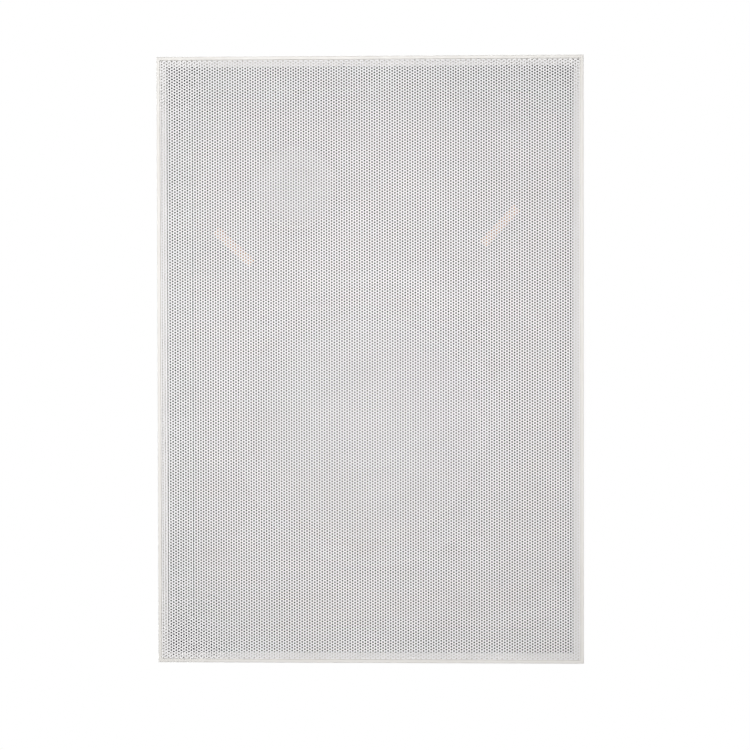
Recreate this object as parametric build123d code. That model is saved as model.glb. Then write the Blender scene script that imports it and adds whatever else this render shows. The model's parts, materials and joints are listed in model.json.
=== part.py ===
from build123d import *
import math
import os

# Two-way in-wall loudspeaker with a rim round a flush perforated grille.
# Millimetres. Seen from the room, +X is right and +Z is up, and +Y goes into the wall.
# The origin is the middle of the wall cut-out, on the wall's face.

# Rim, ledge, wall flange and collar
PANEL_W = 220.0
PANEL_H = 313.0
RIM_W = 1.7
RIM_RISE = 6.0
RIM_ROUND = 0.4
LEDGE_W = 3.4
LEDGE_DROP = 1.2
LIP_SEAT_W = 0.6
FLANGE_OVERLAP = 12.0
FLANGE_T = 2.2
COLLAR_CLEAR = 1.0
COLLAR_T = 2.0
COLLAR_DEPTH = 10.0
COLLAR_CORNER = 10.0

# Grille sheet: one modelled opening stands for a patch of small holes
SHEET_T = 0.6
SHEET_INSET = 0.2
SHEET_GAP = 0.25
HOLE_PITCH = 1.51
HOLE_DIA = 0.9
HOLE_PATCH = 16
HOLE_SIDES = 6

# Baffle: a tray inside the collar, with its flange on the frame's floor
BAFFLE_GAP = 0.3
BAFFLE_FLANGE_T = 1.5
WELL_T = 2.4
FLOOR_Y = 8.0
FLOOR_T = 3.0
RIB_T = 2.5
RIB_H = 6.0
RIB_CLEAR = 1.5
RIB_EDGE = 6.5
BOSS_WALL = 2.2

# Magnets that hold the grille, and the pads behind its middle
MAGNET_L = 12.0
MAGNET_W = 5.0
MAGNET_T = 2.0
MAGNET_EDGE = 11.0
MAGNET_SPACING = 120.0
MAGNET_SINK = 0.1
MAGNET_WALL = 1.5
MAGNET_FIT = 0.05
PAD_L = 25.5
PAD_W = 4.8
PAD_T = 2.0
PAD_GAP = 0.5
PAD_SIDES = {"left": -1, "right": 1}
PAD_IN = {"left": 39.7, "right": 42.8}
PAD_Z = {"left": 58.5, "right": 69.0}
PAD_TURN = {"left": -42.7, "right": 47.2}

# Woofer
WOOFER_X = 0.0
WOOFER_Z = -36.3
CONE_R = 60.0
CONE_LIP = 3.0
CONE_DEPTH = 22.5
CONE_T = 0.9
CAP_R = 21.0
CAP_RISE = 7.0
CAP_T = 0.8
DOME_FACETS = 3
FORMER_R = 13.0
FORMER_T = 0.4
FORMER_LEAD = 1.0
SURROUND_T = 0.6
ROLL_W = 11.0
ROLL_RISE = 5.0
ROLL_FACETS = 5
LIP_W = 4.5
GASKET_T = 1.5
GASKET_INSET = 0.5
BASKET_T = 1.2
BASKET_RIM = 7.5
BASKET_WALL = 1.6
BASKET_HOLE_CLEAR = 1.9
BASKET_STEP = 2.0
BASKET_BORE_CLEAR = 1.0
BASKET_FOOT_WALL = 1.0
SHELF_R = 47.0
SHELF_W = 6.8
SHELF_DROP = 33.2
SPOKES = 6
SPOKE_DEG = 16.0
WINDOW_EDGE = 3.5
SPIDER_T = 0.7
SPIDER_WAVE = 1.6
SPIDER_PLEATS = 3
SPIDER_GLUE = 0.1
PLATE_R = 40.0
PLATE_T = 6.0
PLATE_DROP = 8.0
GAP_CLEAR = 0.5
COIL_T = 0.5
COIL_H = 12.0
COIL_TAIL = 1.5
MAGNET_RING_R = 45.0
MAGNET_RING_BORE = 21.0
MAGNET_RING_T = 16.0
POLE_R = 12.0
VENT_R = 4.0
WOOFER_SCREWS = 4

# Tweeter
TWEETER_X = -39.5
TWEETER_Z = 90.5
FACE_R = 22.0
FACE_RISE = 3.0
FACE_EDGE = 1.5
FLARE_R = 11.2
FLARE_DEPTH = 4.2
FACE_LIP = 1.0
NECK_R = 18.0
NECK_T = 1.7
NECK_FIT = 0.4
DOME_R = 10.0
DOME_RISE = 3.6
DOME_T = 0.5
POT_R = 15.0
POT_BORE = 10.6
POT_H = 7.1
POT_FLOOR = 2.5
TWEETER_COIL_T = 0.4
TWEETER_COIL_H = 3.2
POLE_PLATE_R = 9.1
POLE_PLATE_T = 2.5
POLE_PLATE_SINK = 0.6
SLUG_R = 8.2
LOCK_RING_W = 7.0
LOCK_RING_T = 2.5

# Crossover board behind the baffle
BOARD_X = 34.0
BOARD_Z = 89.0
BOARD_W = 76.0
BOARD_H = 60.0
BOARD_T = 1.6
BOARD_STAND = 6.0
BOARD_EDGE = 4.0
CHOKE_AT = (20.0, -11.0)
CHOKE_R = 14.5
CHOKE_POST_R = 5.0
CHOKE_FLANGE_T = 2.0
CHOKE_H = 18.0
WINDING_SHORT = 1.5
AIR_COIL_AT = (-23.0, 16.5)
AIR_COIL_R = 10.0
AIR_COIL_BORE = 5.0
AIR_COIL_H = 10.0
WOOFER_CAN_AT = (-14.0, -14.0)
WOOFER_CAN_R = 7.0
WOOFER_CAN_L = 28.0
TWEETER_CAN_AT = (-18.0, 0.0)
TWEETER_CAN_R = 5.5
TWEETER_CAN_L = 22.0
RESISTOR_AT = (5.0, 6.5)
RESISTOR_L = 18.0
RESISTOR_W = 8.0
PART_LEG_R = 0.5
PART_LEG_OUT = 1.5

# Spring terminals on the board
BLOCK_AT = (12.0, 20.0)
BLOCK_W = 36.0
BLOCK_H = 16.0
BLOCK_D = 14.0
BUTTON_PITCH = 18.0
BUTTON_W = 11.0
BUTTON_H = 9.0
BUTTON_CLEAR = 0.3
BUTTON_PROUD = 5.0
BUTTON_SUNK = 5.0
BUTTON_TRAVEL = 3.5
BUTTON_EDGE = 0.6
WIRE_HOLE_R = 1.6
WIRE_HOLE_DEPTH = 8.0
WIRE_HOLE_BACK = 3.0

# Solder tag boards and leads
TAG_BOARD_T = 1.6
TAG_T = 0.8
TAG_W = 4.8
TAG_OUT = 6.0
TAG_PITCH = 10.0
TAG_BOARD_W = 18.0
TAG_BOARD_L = 18.0
LEAD_R = 0.7
LEAD_SIDES = 6
LEAD_BEND = 0.45
WOOFER_PAD_AT = (-5.0, -27.0)
WOOFER_LEAD_OUT = 14.0
WOOFER_LEAD_STAND = 18.0
TWEETER_PAD_IN = 4.0
TWEETER_LEAD_OUT = 7.5
TWEETER_LEAD_LEAN = 3.5
TWEETER_LEAD_RISE = 12.0
TWEETER_LEAD_CREST = 0.5

# Clamps: an arm on a threaded bush that travels along a screw beside an angle post
CLAMP_IN_X = 9.0
CLAMP_IN_Z = 12.0
CLAMP_SCREW_R = 2.0
CLAMP_THREAD_FIT = 0.06
CLAMP_HOLE_FIT = 0.2
CLAMP_END_Y = 60.0
CLAMP_END_T = 4.0
CLAMP_TIP = 2.0
HUB_R = 6.5
ARM_REACH = 28.0
ARM_T = 8.0
ARM_TIP_T = 5.0
ARM_TOE = 2.0
ARM_TOE_L = 5.0
STOP_GAP = 0.3
POST_T = 4.0
BUSH_R = 3.6
BUSH_FIT = 0.05
BUSH_FLANGE_R = 5.2
BUSH_FLANGE_T = 1.5
BUSH_BACK_GAP = 2.5

# Screws
SCREW_R = 1.7
SCREW_HEAD_R = 3.2
SCREW_HEAD_H = 2.2
SCREW_L = 8.0
CLAMP_HEAD_R = 4.2
CLAMP_HEAD_H = 2.6

# Depths worked out from the sizes above
SHEET_FRONT = SHEET_INSET - RIM_RISE
SHEET_BACK = SHEET_FRONT + SHEET_T
LEDGE_Y = SHEET_BACK + LEDGE_DROP
FLOOR_BACK = FLOOR_Y + FLOOR_T
MAGNET_FRONT = SHEET_BACK + MAGNET_SINK
MAGNET_BACK = MAGNET_FRONT + MAGNET_T
PAD_FRONT = SHEET_BACK + PAD_GAP
PAD_BACK = PAD_FRONT + PAD_T
BAFFLE_FRONT = -FLANGE_T - BAFFLE_FLANGE_T

# Insets from the panel's outer edge
SEAT_IN = RIM_W + LEDGE_W
COLLAR_IN = FLANGE_OVERLAP + COLLAR_CLEAR
WELL_IN = COLLAR_IN + COLLAR_T + BAFFLE_GAP
WELL_INNER_IN = WELL_IN + WELL_T

# Woofer radii and depths
ROLL_R = CONE_R + ROLL_W
LIP_R = ROLL_R + LIP_W
BASKET_R = LIP_R + BASKET_RIM
WOOFER_HOLE_R = ROLL_R + BASKET_WALL + BASKET_HOLE_CLEAR
WOOFER_SCREW_R = LIP_R + BASKET_RIM / 2
BASKET_Y = FLOOR_Y - BASKET_T
NECK_Y = BASKET_Y + CONE_DEPTH
SHELF_Y = BASKET_Y + SHELF_DROP
MOTOR_Y = SHELF_Y + PLATE_DROP
COIL_R = FORMER_R + COIL_T
PLATE_BORE = COIL_R + GAP_CLEAR
MAGNET_RING_Y = MOTOR_Y + PLATE_T
YOKE_Y = MAGNET_RING_Y + MAGNET_RING_T
COIL_Y = MOTOR_Y + PLATE_T / 2 - COIL_H / 2

# Tweeter depths
FACE_Y = FLOOR_Y - FACE_RISE
DOME_Y = FACE_Y + FLARE_DEPTH + FACE_LIP
POT_Y = DOME_Y + DOME_T
POT_BACK = POT_Y + POT_H
TWEETER_BACK = POT_BACK + POT_FLOOR

# Board and clamp places
BOARD_Y = FLOOR_BACK + BOARD_STAND
PARTS_Y = BOARD_Y + BOARD_T
BLOCK_BACK = PARTS_Y + BLOCK_D
CLAMP_X = PANEL_W / 2 - WELL_INNER_IN - CLAMP_IN_X
CLAMP_Z = PANEL_H / 2 - WELL_INNER_IN - CLAMP_IN_Z
CLAMP_END_FRONT = CLAMP_END_Y - CLAMP_END_T
BUSH_BACK = CLAMP_END_FRONT - BUSH_BACK_GAP
ARM_BACK = BUSH_BACK - BUSH_FLANGE_T
ARM_FRONT = ARM_BACK - ARM_T
CLAMP_CORNERS = {1: (1, 1), 2: (-1, 1), 3: (-1, -1), 4: (1, -1)}


# Outlines in the wall's plane, and solids made from them

def panel(inset, corner=0.0):
    """Rectangle inside the panel's edge, with round corners where asked."""
    width = PANEL_W - 2 * inset
    height = PANEL_H - 2 * inset
    return RectangleRounded(width, height, corner) if corner else Rectangle(width, height)


def slab(outline, front, back):
    """Solid of an outline between two depths."""
    return extrude(Plane.XZ.offset(-back) * outline, back - front)


def disc(x, z, radius, front, back):
    """Round bar along Y."""
    return slab(Pos(x, z) * Circle(radius), front, back)


def block(x, z, width, height, front, back):
    """Box with its middle at x, z."""
    return slab(Pos(x, z) * Rectangle(width, height), front, back)


def turned(points, x, z):
    """Solid turned about an axis along Y, from an outline of (radius, depth) points."""
    return Pos(x, 0, z) * revolve(make_face(Polyline(*points, close=True)), Axis.Y)


def ring(x, z, inner, outer, front, back):
    """Plain ring along Y."""
    return turned([(inner, front), (outer, front), (outer, back), (inner, back)], x, z)


def dome(radius, rise, base, thick, x, z):
    """Thin faceted cap that bulges to the front, flat in its middle and open at its back."""
    ball = (radius**2 + rise**2) / (2 * rise)
    middle = base - rise + ball
    half = math.atan2(radius, ball - rise)
    steps = [half * (i + 1) / DOME_FACETS for i in range(DOME_FACETS)]
    outer = [(ball * math.sin(a), middle - ball * math.cos(a)) for a in steps]
    inner = [(r, y + thick) for r, y in reversed(outer[:-1])]
    top = outer[0][1]
    return turned([(0, top), *outer, (radius - thick, base), *inner, (0, top + thick)], x, z)


def around(count, radius, first=0.0):
    """Places on a circle in the wall's plane."""
    steps = [math.radians(first + 360 * i / count) for i in range(count)]
    return [(radius * math.cos(a), radius * math.sin(a)) for a in steps]


def screw(x, z, seat, length, radius=SCREW_R, head_r=SCREW_HEAD_R, head_h=SCREW_HEAD_H, flip=1):
    """Round-headed screw along Y whose head sits on the seat; flip -1 has its head at the back."""
    shank = sorted((seat, seat + flip * length))
    head = sorted((seat, seat - flip * head_h))
    return disc(x, z, radius, *shank) + disc(x, z, head_r, *head)


# Front: frame, grille, magnets and pads

def frame():
    """Rim, ledge, wall flange and collar as one moulding."""
    body = slab(panel(0), -RIM_RISE, 0)
    body += slab(panel(COLLAR_IN, COLLAR_CORNER), 0, COLLAR_DEPTH)
    body -= slab(panel(RIM_W), -RIM_RISE, SHEET_BACK)
    body -= slab(panel(RIM_W + LIP_SEAT_W), SHEET_BACK, LEDGE_Y)
    body -= slab(panel(SEAT_IN), LEDGE_Y, -FLANGE_T)
    body -= slab(panel(COLLAR_IN + COLLAR_T, COLLAR_CORNER - COLLAR_T), -FLANGE_T, COLLAR_DEPTH)
    front = body.edges().filter_by_position(Axis.Y, -RIM_RISE, -RIM_RISE)
    outer = [e for e in front if e.length > PANEL_W - RIM_W and not on_seat(e)]
    return fillet(outer, RIM_ROUND)


def on_seat(edge):
    """True for an edge of the grille's seat, inside the rim."""
    middle = edge.center()
    return abs(middle.X) < PANEL_W / 2 - RIM_W / 2 and abs(middle.Z) < PANEL_H / 2 - RIM_W / 2


def hole_places(width, height, pitch):
    """Staggered places in upright columns, evenly about the middle."""
    column = pitch * math.sqrt(3) / 2
    side = int((width / 2 - pitch / 2) / column)
    places = []
    for i in range(-side, side + 1):
        shift = pitch / 2 if i % 2 else 0.0
        reach = int((height / 2 - pitch / 2 - shift) / pitch)
        first = -reach - 1 if i % 2 else -reach
        places += [(i * column, j * pitch + shift) for j in range(first, reach + 1)]
    return places


def grille():
    """Flat steel sheet with staggered openings."""
    edge = RIM_W + SHEET_GAP
    pitch = HOLE_PITCH * HOLE_PATCH
    places = hole_places(PANEL_W - 2 * SEAT_IN, PANEL_H - 2 * SEAT_IN, pitch)
    cell = RegularPolygon(HOLE_DIA * HOLE_PATCH / 2, HOLE_SIDES)
    return slab(panel(edge) - [Pos(x, z) * cell for x, z in places], SHEET_FRONT, SHEET_BACK)


def magnet_places():
    """Middle, width and height of each magnet: along the long sides, and one in each short side."""
    x = PANEL_W / 2 - MAGNET_EDGE
    z = PANEL_H / 2 - MAGNET_EDGE
    upright = [(i * x, j * MAGNET_SPACING, MAGNET_W, MAGNET_L) for i in (-1, 1) for j in (-1, 0, 1)]
    return upright + [(0, j * z, MAGNET_L, MAGNET_W) for j in (-1, 1)]


def magnets(margin, front, back):
    """A block at each magnet's place, larger than the magnet by a margin all round."""
    grow = 2 * margin
    return [block(x, z, w + grow, h + grow, front, back) for x, z, w, h in magnet_places()]


def pad_outline(side):
    """Slanted bar of a grille pad."""
    x = PAD_SIDES[side] * (PANEL_W / 2 - PAD_IN[side])
    return Pos(x, PAD_Z[side]) * Rot(0, 0, PAD_TURN[side]) * Rectangle(PAD_L, PAD_W)


# Baffle with its bosses, ribs and clamp posts

def clamp_axis(corner):
    """Place of a clamp screw, and the signs that point outwards from the middle."""
    out_x, out_z = CLAMP_CORNERS[corner]
    return out_x * CLAMP_X, out_z * CLAMP_Z, out_x, out_z


def clamp_post(corner):
    """Angle post beside a clamp screw, with the plate that guides the screw's end."""
    x, z, out_x, out_z = clamp_axis(corner)
    near = HUB_R + STOP_GAP
    far = near + POST_T
    long = far + HUB_R
    shift = (far - HUB_R) / 2
    inner = block(x - out_x * (near + POST_T / 2), z + out_z * shift, POST_T, long, FLOOR_BACK, CLAMP_END_Y)
    upper = block(x - out_x * shift, z + out_z * (near + POST_T / 2), long, POST_T, FLOOR_BACK, CLAMP_END_Y)
    end = block(x - out_x * shift, z + out_z * shift, long, long, CLAMP_END_FRONT, CLAMP_END_Y)
    return inner + upper + end


def board_places():
    """Fixing points of the crossover board."""
    x = BOARD_W / 2 - BOARD_EDGE
    z = BOARD_H / 2 - BOARD_EDGE
    return [(BOARD_X + i * x, BOARD_Z + j * z) for i in (-1, 1) for j in (-1, 1)]


def woofer_screw_places():
    """Fixing points of the woofer on its rim."""
    circle = around(WOOFER_SCREWS, WOOFER_SCREW_R, 180 / WOOFER_SCREWS)
    return [(WOOFER_X + x, WOOFER_Z + z) for x, z in circle]


def baffle_ribs():
    """Ribs on the baffle's back, above, below and beside the woofer."""
    back = FLOOR_BACK + RIB_H
    reach = BASKET_R + RIB_CLEAR + RIB_T / 2
    half = CLAMP_X - 2 * HUB_R - POST_T
    level = [block(0, WOOFER_Z + j * reach, 2 * half, RIB_T, FLOOR_BACK, back) for j in (-1, 1)]
    side = PANEL_W / 2 - WELL_INNER_IN - RIB_EDGE
    low = ARM_REACH + HUB_R - CLAMP_Z
    high = WOOFER_Z + reach
    middle = (low + high) / 2
    beside = [block(i * side, middle, RIB_T, high - low, FLOOR_BACK, back) for i in (-1, 1)]
    return level + beside


def square_bosses(places, back):
    """Square posts on the baffle's back for screws."""
    width = 2 * (SCREW_R + BOSS_WALL)
    return [block(x, z, width, width, FLOOR_BACK, back) for x, z in places]


def baffle():
    """Dark tray that carries both drivers, the magnets, the board and the clamps."""
    boss_back = FLOOR_BACK + RIB_H
    body = slab(panel(SEAT_IN + BAFFLE_GAP), BAFFLE_FRONT, -FLANGE_T)
    body += slab(panel(WELL_IN, COLLAR_CORNER - COLLAR_T), -FLANGE_T, FLOOR_BACK)
    body -= slab(panel(WELL_INNER_IN, COLLAR_CORNER - COLLAR_T), BAFFLE_FRONT, FLOOR_Y)
    body += magnets(MAGNET_WALL, MAGNET_FRONT, BAFFLE_FRONT)
    body += [slab(pad_outline(side), PAD_BACK, FLOOR_Y) for side in PAD_SIDES]
    body += square_bosses(board_places(), BOARD_Y)
    body += square_bosses(woofer_screw_places(), boss_back)
    body += baffle_ribs()
    body += [clamp_post(corner) for corner in CLAMP_CORNERS]
    body -= magnets(MAGNET_FIT, MAGNET_FRONT, MAGNET_BACK)
    body -= disc(WOOFER_X, WOOFER_Z, WOOFER_HOLE_R, FLOOR_Y, FLOOR_BACK)
    body -= disc(TWEETER_X, TWEETER_Z, NECK_R + NECK_FIT, FLOOR_Y, FLOOR_BACK)
    body -= [disc(x, z, SCREW_R, FLOOR_BACK, BOARD_Y) for x, z in board_places()]
    body -= [disc(x, z, SCREW_R, FLOOR_Y, boss_back) for x, z in woofer_screw_places()]
    hole = CLAMP_SCREW_R + CLAMP_HOLE_FIT
    axes = [clamp_axis(corner)[:2] for corner in CLAMP_CORNERS]
    body -= [disc(x, z, hole, FLOOR_Y, CLAMP_END_Y) for x, z in axes]
    return body


# Woofer

def woofer_basket():
    """Pressed steel basket with open windows between its spokes."""
    wall = BASKET_WALL
    shelf_in = SHELF_R - SHELF_W
    foot = shelf_in - BASKET_STEP
    bore = PLATE_BORE + BASKET_BORE_CLEAR
    profile = [
        (ROLL_R, BASKET_Y),
        (BASKET_R, BASKET_Y),
        (BASKET_R, FLOOR_Y),
        (ROLL_R + wall, FLOOR_Y),
        (SHELF_R + wall, SHELF_Y),
        (SHELF_R + wall, SHELF_Y + BASKET_T),
        (shelf_in + BASKET_FOOT_WALL, SHELF_Y + BASKET_T),
        (foot + BASKET_FOOT_WALL, MOTOR_Y),
        (bore, MOTOR_Y),
        (bore, MOTOR_Y - BASKET_T),
        (foot, MOTOR_Y - BASKET_T),
        (shelf_in, SHELF_Y),
        (SHELF_R, SHELF_Y),
        (ROLL_R, FLOOR_Y),
    ]
    body = turned(profile, WOOFER_X, WOOFER_Z)
    pitch = 360 / SPOKES
    half = math.radians(pitch - SPOKE_DEG) / 2
    far = 2 * BASKET_R
    wedge = Polygon((0, 0), (far, far * math.tan(half)), (far, -far * math.tan(half)), align=None)
    band = Circle(ROLL_R - WINDOW_EDGE) - Circle(SHELF_R + wall + WINDOW_EDGE)
    window = band & wedge
    at = Pos(WOOFER_X, WOOFER_Z)
    body -= [slab(at * Rot(0, 0, i * pitch) * window, FLOOR_Y, SHELF_Y) for i in range(SPOKES)]
    holes = [disc(x, z, SCREW_R, BASKET_Y, FLOOR_Y) for x, z in woofer_screw_places()]
    return body - holes


def woofer_surround():
    """Rubber half roll between the cone's lip and the basket's rim."""
    back = BASKET_Y
    front = back - SURROUND_T
    middle = CONE_R + ROLL_W / 2
    steps = [math.pi * (1 - i / ROLL_FACETS) for i in range(ROLL_FACETS + 1)]
    wide = ROLL_W / 2 - SURROUND_T
    outer = [(middle + ROLL_W / 2 * math.cos(a), front - ROLL_RISE * math.sin(a)) for a in steps]
    inner = [(middle + wide * math.cos(a), back - ROLL_RISE * math.sin(a)) for a in reversed(steps)]
    lip = CONE_R - CONE_LIP
    profile = [(lip, front), *outer, (LIP_R, front), (LIP_R, back), *inner, (lip, back)]
    return turned(profile, WOOFER_X, WOOFER_Z)


def woofer_gasket():
    """Flat ring pressed on the surround's outer lip."""
    back = BASKET_Y - SURROUND_T
    return ring(WOOFER_X, WOOFER_Z, ROLL_R + GASKET_INSET, LIP_R, back - GASKET_T, back)


def woofer_cone():
    """Straight cone with a flat glue lip at its rim."""
    lip = CONE_R - CONE_LIP
    profile = [
        (CONE_R, BASKET_Y),
        (lip, BASKET_Y),
        (FORMER_R, NECK_Y),
        (FORMER_R, NECK_Y + CONE_T),
        (lip, BASKET_Y + CONE_T),
        (CONE_R, BASKET_Y + CONE_T),
    ]
    return turned(profile, WOOFER_X, WOOFER_Z)


def woofer_dust_cap():
    """Domed cap over the cone's neck."""
    lip = CONE_R - CONE_LIP
    seat = BASKET_Y + CONE_DEPTH * (lip - CAP_R) / (lip - FORMER_R)
    return dome(CAP_R, CAP_RISE, seat, CAP_T, WOOFER_X, WOOFER_Z)


def woofer_spider():
    """Pleated disc that centres the former, glued to the basket's shelf."""
    bore = FORMER_R + SPIDER_GLUE
    seat = SHELF_R - SHELF_W
    count = SPIDER_PLEATS
    radii = [bore + (seat - bore) * i / count for i in range(count + 1)]
    waves = [SPIDER_WAVE if i % 2 else 0.0 for i in range(count)] + [0.0]
    back = [(r, SHELF_Y - w) for r, w in zip(radii, waves)] + [(SHELF_R, SHELF_Y)]
    front = [(r, y - SPIDER_T) for r, y in reversed(back)]
    return turned(back + front, WOOFER_X, WOOFER_Z)


def voice_coil_former():
    """Thin tube from the cone's neck into the magnet's gap."""
    front = NECK_Y - FORMER_LEAD
    back = COIL_Y + COIL_H + COIL_TAIL
    return ring(WOOFER_X, WOOFER_Z, FORMER_R - FORMER_T, FORMER_R, front, back)


def voice_coil():
    """Winding on the former."""
    return ring(WOOFER_X, WOOFER_Z, FORMER_R, COIL_R, COIL_Y, COIL_Y + COIL_H)


def woofer_top_plate():
    """Steel ring in front of the magnet."""
    return ring(WOOFER_X, WOOFER_Z, PLATE_BORE, PLATE_R, MOTOR_Y, MAGNET_RING_Y)


def woofer_magnet():
    """Ferrite ring."""
    return ring(WOOFER_X, WOOFER_Z, MAGNET_RING_BORE, MAGNET_RING_R, MAGNET_RING_Y, YOKE_Y)


def woofer_back_plate():
    """Steel plate with the vented pole through the magnet."""
    back = YOKE_Y + PLATE_T
    profile = [
        (VENT_R, MOTOR_Y),
        (POLE_R, MOTOR_Y),
        (POLE_R, YOKE_Y),
        (PLATE_R, YOKE_Y),
        (PLATE_R, back),
        (VENT_R, back),
    ]
    return turned(profile, WOOFER_X, WOOFER_Z)


def woofer_terminals():
    """Tag board on the basket's shelf, with two solder tags."""
    seat = SHELF_Y + BASKET_T
    low = WOOFER_Z + SHELF_R - SHELF_W / 2
    top = low + TAG_BOARD_L
    board = block(WOOFER_X, (low + top) / 2, TAG_BOARD_W, TAG_BOARD_L, seat, seat + TAG_BOARD_T)
    tags = []
    for side in (-1, 1):
        x = WOOFER_X + side * TAG_PITCH / 2
        tags.append(block(x, top, TAG_W, 2 * TAG_OUT, seat + TAG_BOARD_T, seat + TAG_BOARD_T + TAG_T))
    return [board] + tags


def woofer_screws():
    """Screws through the basket's rim into the baffle."""
    return [screw(x, z, BASKET_Y, SCREW_L) for x, z in woofer_screw_places()]


# Tweeter

def tweeter_faceplate():
    """Flared ring set in the baffle, with a neck behind for the lock ring."""
    mouth = FACE_Y + FLARE_DEPTH
    back = FLOOR_BACK + LOCK_RING_T
    profile = [
        (FACE_R, FLOOR_Y),
        (FACE_R, FACE_Y + FACE_EDGE),
        (FACE_R - FACE_EDGE, FACE_Y),
        (FLARE_R, mouth),
        (FLARE_R, DOME_Y),
        (NECK_R - NECK_T, DOME_Y),
        (NECK_R - NECK_T, back),
        (NECK_R, back),
        (NECK_R, FLOOR_Y),
    ]
    return turned(profile, TWEETER_X, TWEETER_Z)


def tweeter_dome():
    """Dome with its flat mounting ring, clamped behind the faceplate."""
    cap = dome(DOME_R, DOME_RISE, DOME_Y, DOME_T, TWEETER_X, TWEETER_Z)
    rim = ring(TWEETER_X, TWEETER_Z, DOME_R - DOME_T, POT_R, DOME_Y, POT_Y)
    return cap + rim


def tweeter_voice_coil():
    """Winding under the dome's edge."""
    return ring(TWEETER_X, TWEETER_Z, DOME_R - TWEETER_COIL_T, DOME_R, POT_Y, POT_Y + TWEETER_COIL_H)


def tweeter_pole_plate():
    """Steel disc on the magnet, inside the coil."""
    front = POT_Y + POLE_PLATE_SINK
    return disc(TWEETER_X, TWEETER_Z, POLE_PLATE_R, front, front + POLE_PLATE_T)


def tweeter_magnet():
    """Round magnet in the pot."""
    front = POT_Y + POLE_PLATE_SINK + POLE_PLATE_T
    return disc(TWEETER_X, TWEETER_Z, SLUG_R, front, POT_BACK)


def tweeter_pot():
    """Steel cup round the magnet."""
    profile = [
        (POT_BORE, POT_Y),
        (POT_R, POT_Y),
        (POT_R, TWEETER_BACK),
        (0, TWEETER_BACK),
        (0, POT_BACK),
        (POT_BORE, POT_BACK),
    ]
    return turned(profile, TWEETER_X, TWEETER_Z)


def tweeter_lock_ring():
    """Ring on the faceplate's neck, tight against the baffle's back."""
    outer = NECK_R + LOCK_RING_W
    return ring(TWEETER_X, TWEETER_Z, NECK_R, outer, FLOOR_BACK, FLOOR_BACK + LOCK_RING_T)


def tweeter_terminals():
    """Tag board on the pot's back, with two solder tags."""
    seat = TWEETER_BACK
    width = 2 * POT_R - TAG_OUT
    board = block(TWEETER_X, TWEETER_Z, width, TAG_BOARD_W, seat, seat + TAG_BOARD_T)
    end = TWEETER_X + width / 2
    tags = []
    for side in (-1, 1):
        z = TWEETER_Z + side * TAG_PITCH / 2
        tags.append(block(end, z, 2 * TAG_OUT, TAG_W, seat + TAG_BOARD_T, seat + TAG_BOARD_T + TAG_T))
    return [board] + tags


# Crossover

def on_board(place):
    """Place on the board in the wall's plane."""
    return BOARD_X + place[0], BOARD_Z + place[1]


def crossover_board():
    """Circuit board on the baffle's bosses."""
    body = block(BOARD_X, BOARD_Z, BOARD_W, BOARD_H, BOARD_Y, PARTS_Y)
    return body - [disc(x, z, SCREW_R, BOARD_Y, PARTS_Y) for x, z in board_places()]


def board_screws():
    """Screws that hold the board."""
    return [screw(x, z, PARTS_Y, BOARD_STAND, flip=-1) for x, z in board_places()]


def woofer_inductor_core():
    """Ferrite drum with two flanges."""
    back = PARTS_Y + CHOKE_H
    profile = [
        (0, PARTS_Y),
        (CHOKE_R, PARTS_Y),
        (CHOKE_R, PARTS_Y + CHOKE_FLANGE_T),
        (CHOKE_POST_R, PARTS_Y + CHOKE_FLANGE_T),
        (CHOKE_POST_R, back - CHOKE_FLANGE_T),
        (CHOKE_R, back - CHOKE_FLANGE_T),
        (CHOKE_R, back),
        (0, back),
    ]
    return turned(profile, *on_board(CHOKE_AT))


def woofer_inductor_winding():
    """Copper wire on the drum."""
    front = PARTS_Y + CHOKE_FLANGE_T
    back = PARTS_Y + CHOKE_H - CHOKE_FLANGE_T
    return ring(*on_board(CHOKE_AT), CHOKE_POST_R, CHOKE_R - WINDING_SHORT, front, back)


def tweeter_inductor():
    """Air-cored coil."""
    return ring(*on_board(AIR_COIL_AT), AIR_COIL_BORE, AIR_COIL_R, PARTS_Y, PARTS_Y + AIR_COIL_H)


def legs(x, z, reach, height):
    """Two bent wire legs, from the ends of a lying part down to the board."""
    bodies = []
    for side in (-1, 1):
        end = x + side * (reach + PART_LEG_OUT)
        along = sorted((x + side * reach, end + side * PART_LEG_R))
        bar = Pos(sum(along) / 2, height, z) * Box(along[1] - along[0], 2 * PART_LEG_R, 2 * PART_LEG_R)
        bodies.append(bar + block(end, z, 2 * PART_LEG_R, 2 * PART_LEG_R, PARTS_Y, height))
    return bodies


def lying_can(place, radius, length):
    """Capacitor can that lies on the board along X."""
    x, z = on_board(place)
    height = PARTS_Y + radius
    can = Pos(x, height, z) * Rot(0, 90, 0) * Cylinder(radius, length)
    return can + legs(x, z, length / 2, height)


def tweeter_resistor():
    """Cement resistor."""
    x, z = on_board(RESISTOR_AT)
    body = block(x, z, RESISTOR_L, RESISTOR_W, PARTS_Y, PARTS_Y + RESISTOR_W)
    return body + legs(x, z, RESISTOR_L / 2, PARTS_Y + RESISTOR_W / 2)


def button_place(side):
    """Place of a terminal button: side -1 is left as seen from the room."""
    x, z = on_board(BLOCK_AT)
    return x + side * BUTTON_PITCH / 2, z


def terminal_block():
    """Housing with a pocket for each button and a wire hole in its top."""
    x, z = on_board(BLOCK_AT)
    body = block(x, z, BLOCK_W, BLOCK_H, PARTS_Y, BLOCK_BACK)
    floor = BLOCK_BACK - BUTTON_SUNK - BUTTON_TRAVEL - BUTTON_CLEAR
    for side in (-1, 1):
        at_x, at_z = button_place(side)
        body -= block(at_x, at_z, BUTTON_W, BUTTON_H, floor, BLOCK_BACK)
        top = Pos(at_x, PARTS_Y + WIRE_HOLE_BACK, z + BLOCK_H / 2 - WIRE_HOLE_DEPTH / 2)
        body -= top * Cylinder(WIRE_HOLE_R, WIRE_HOLE_DEPTH)
    return body


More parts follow.
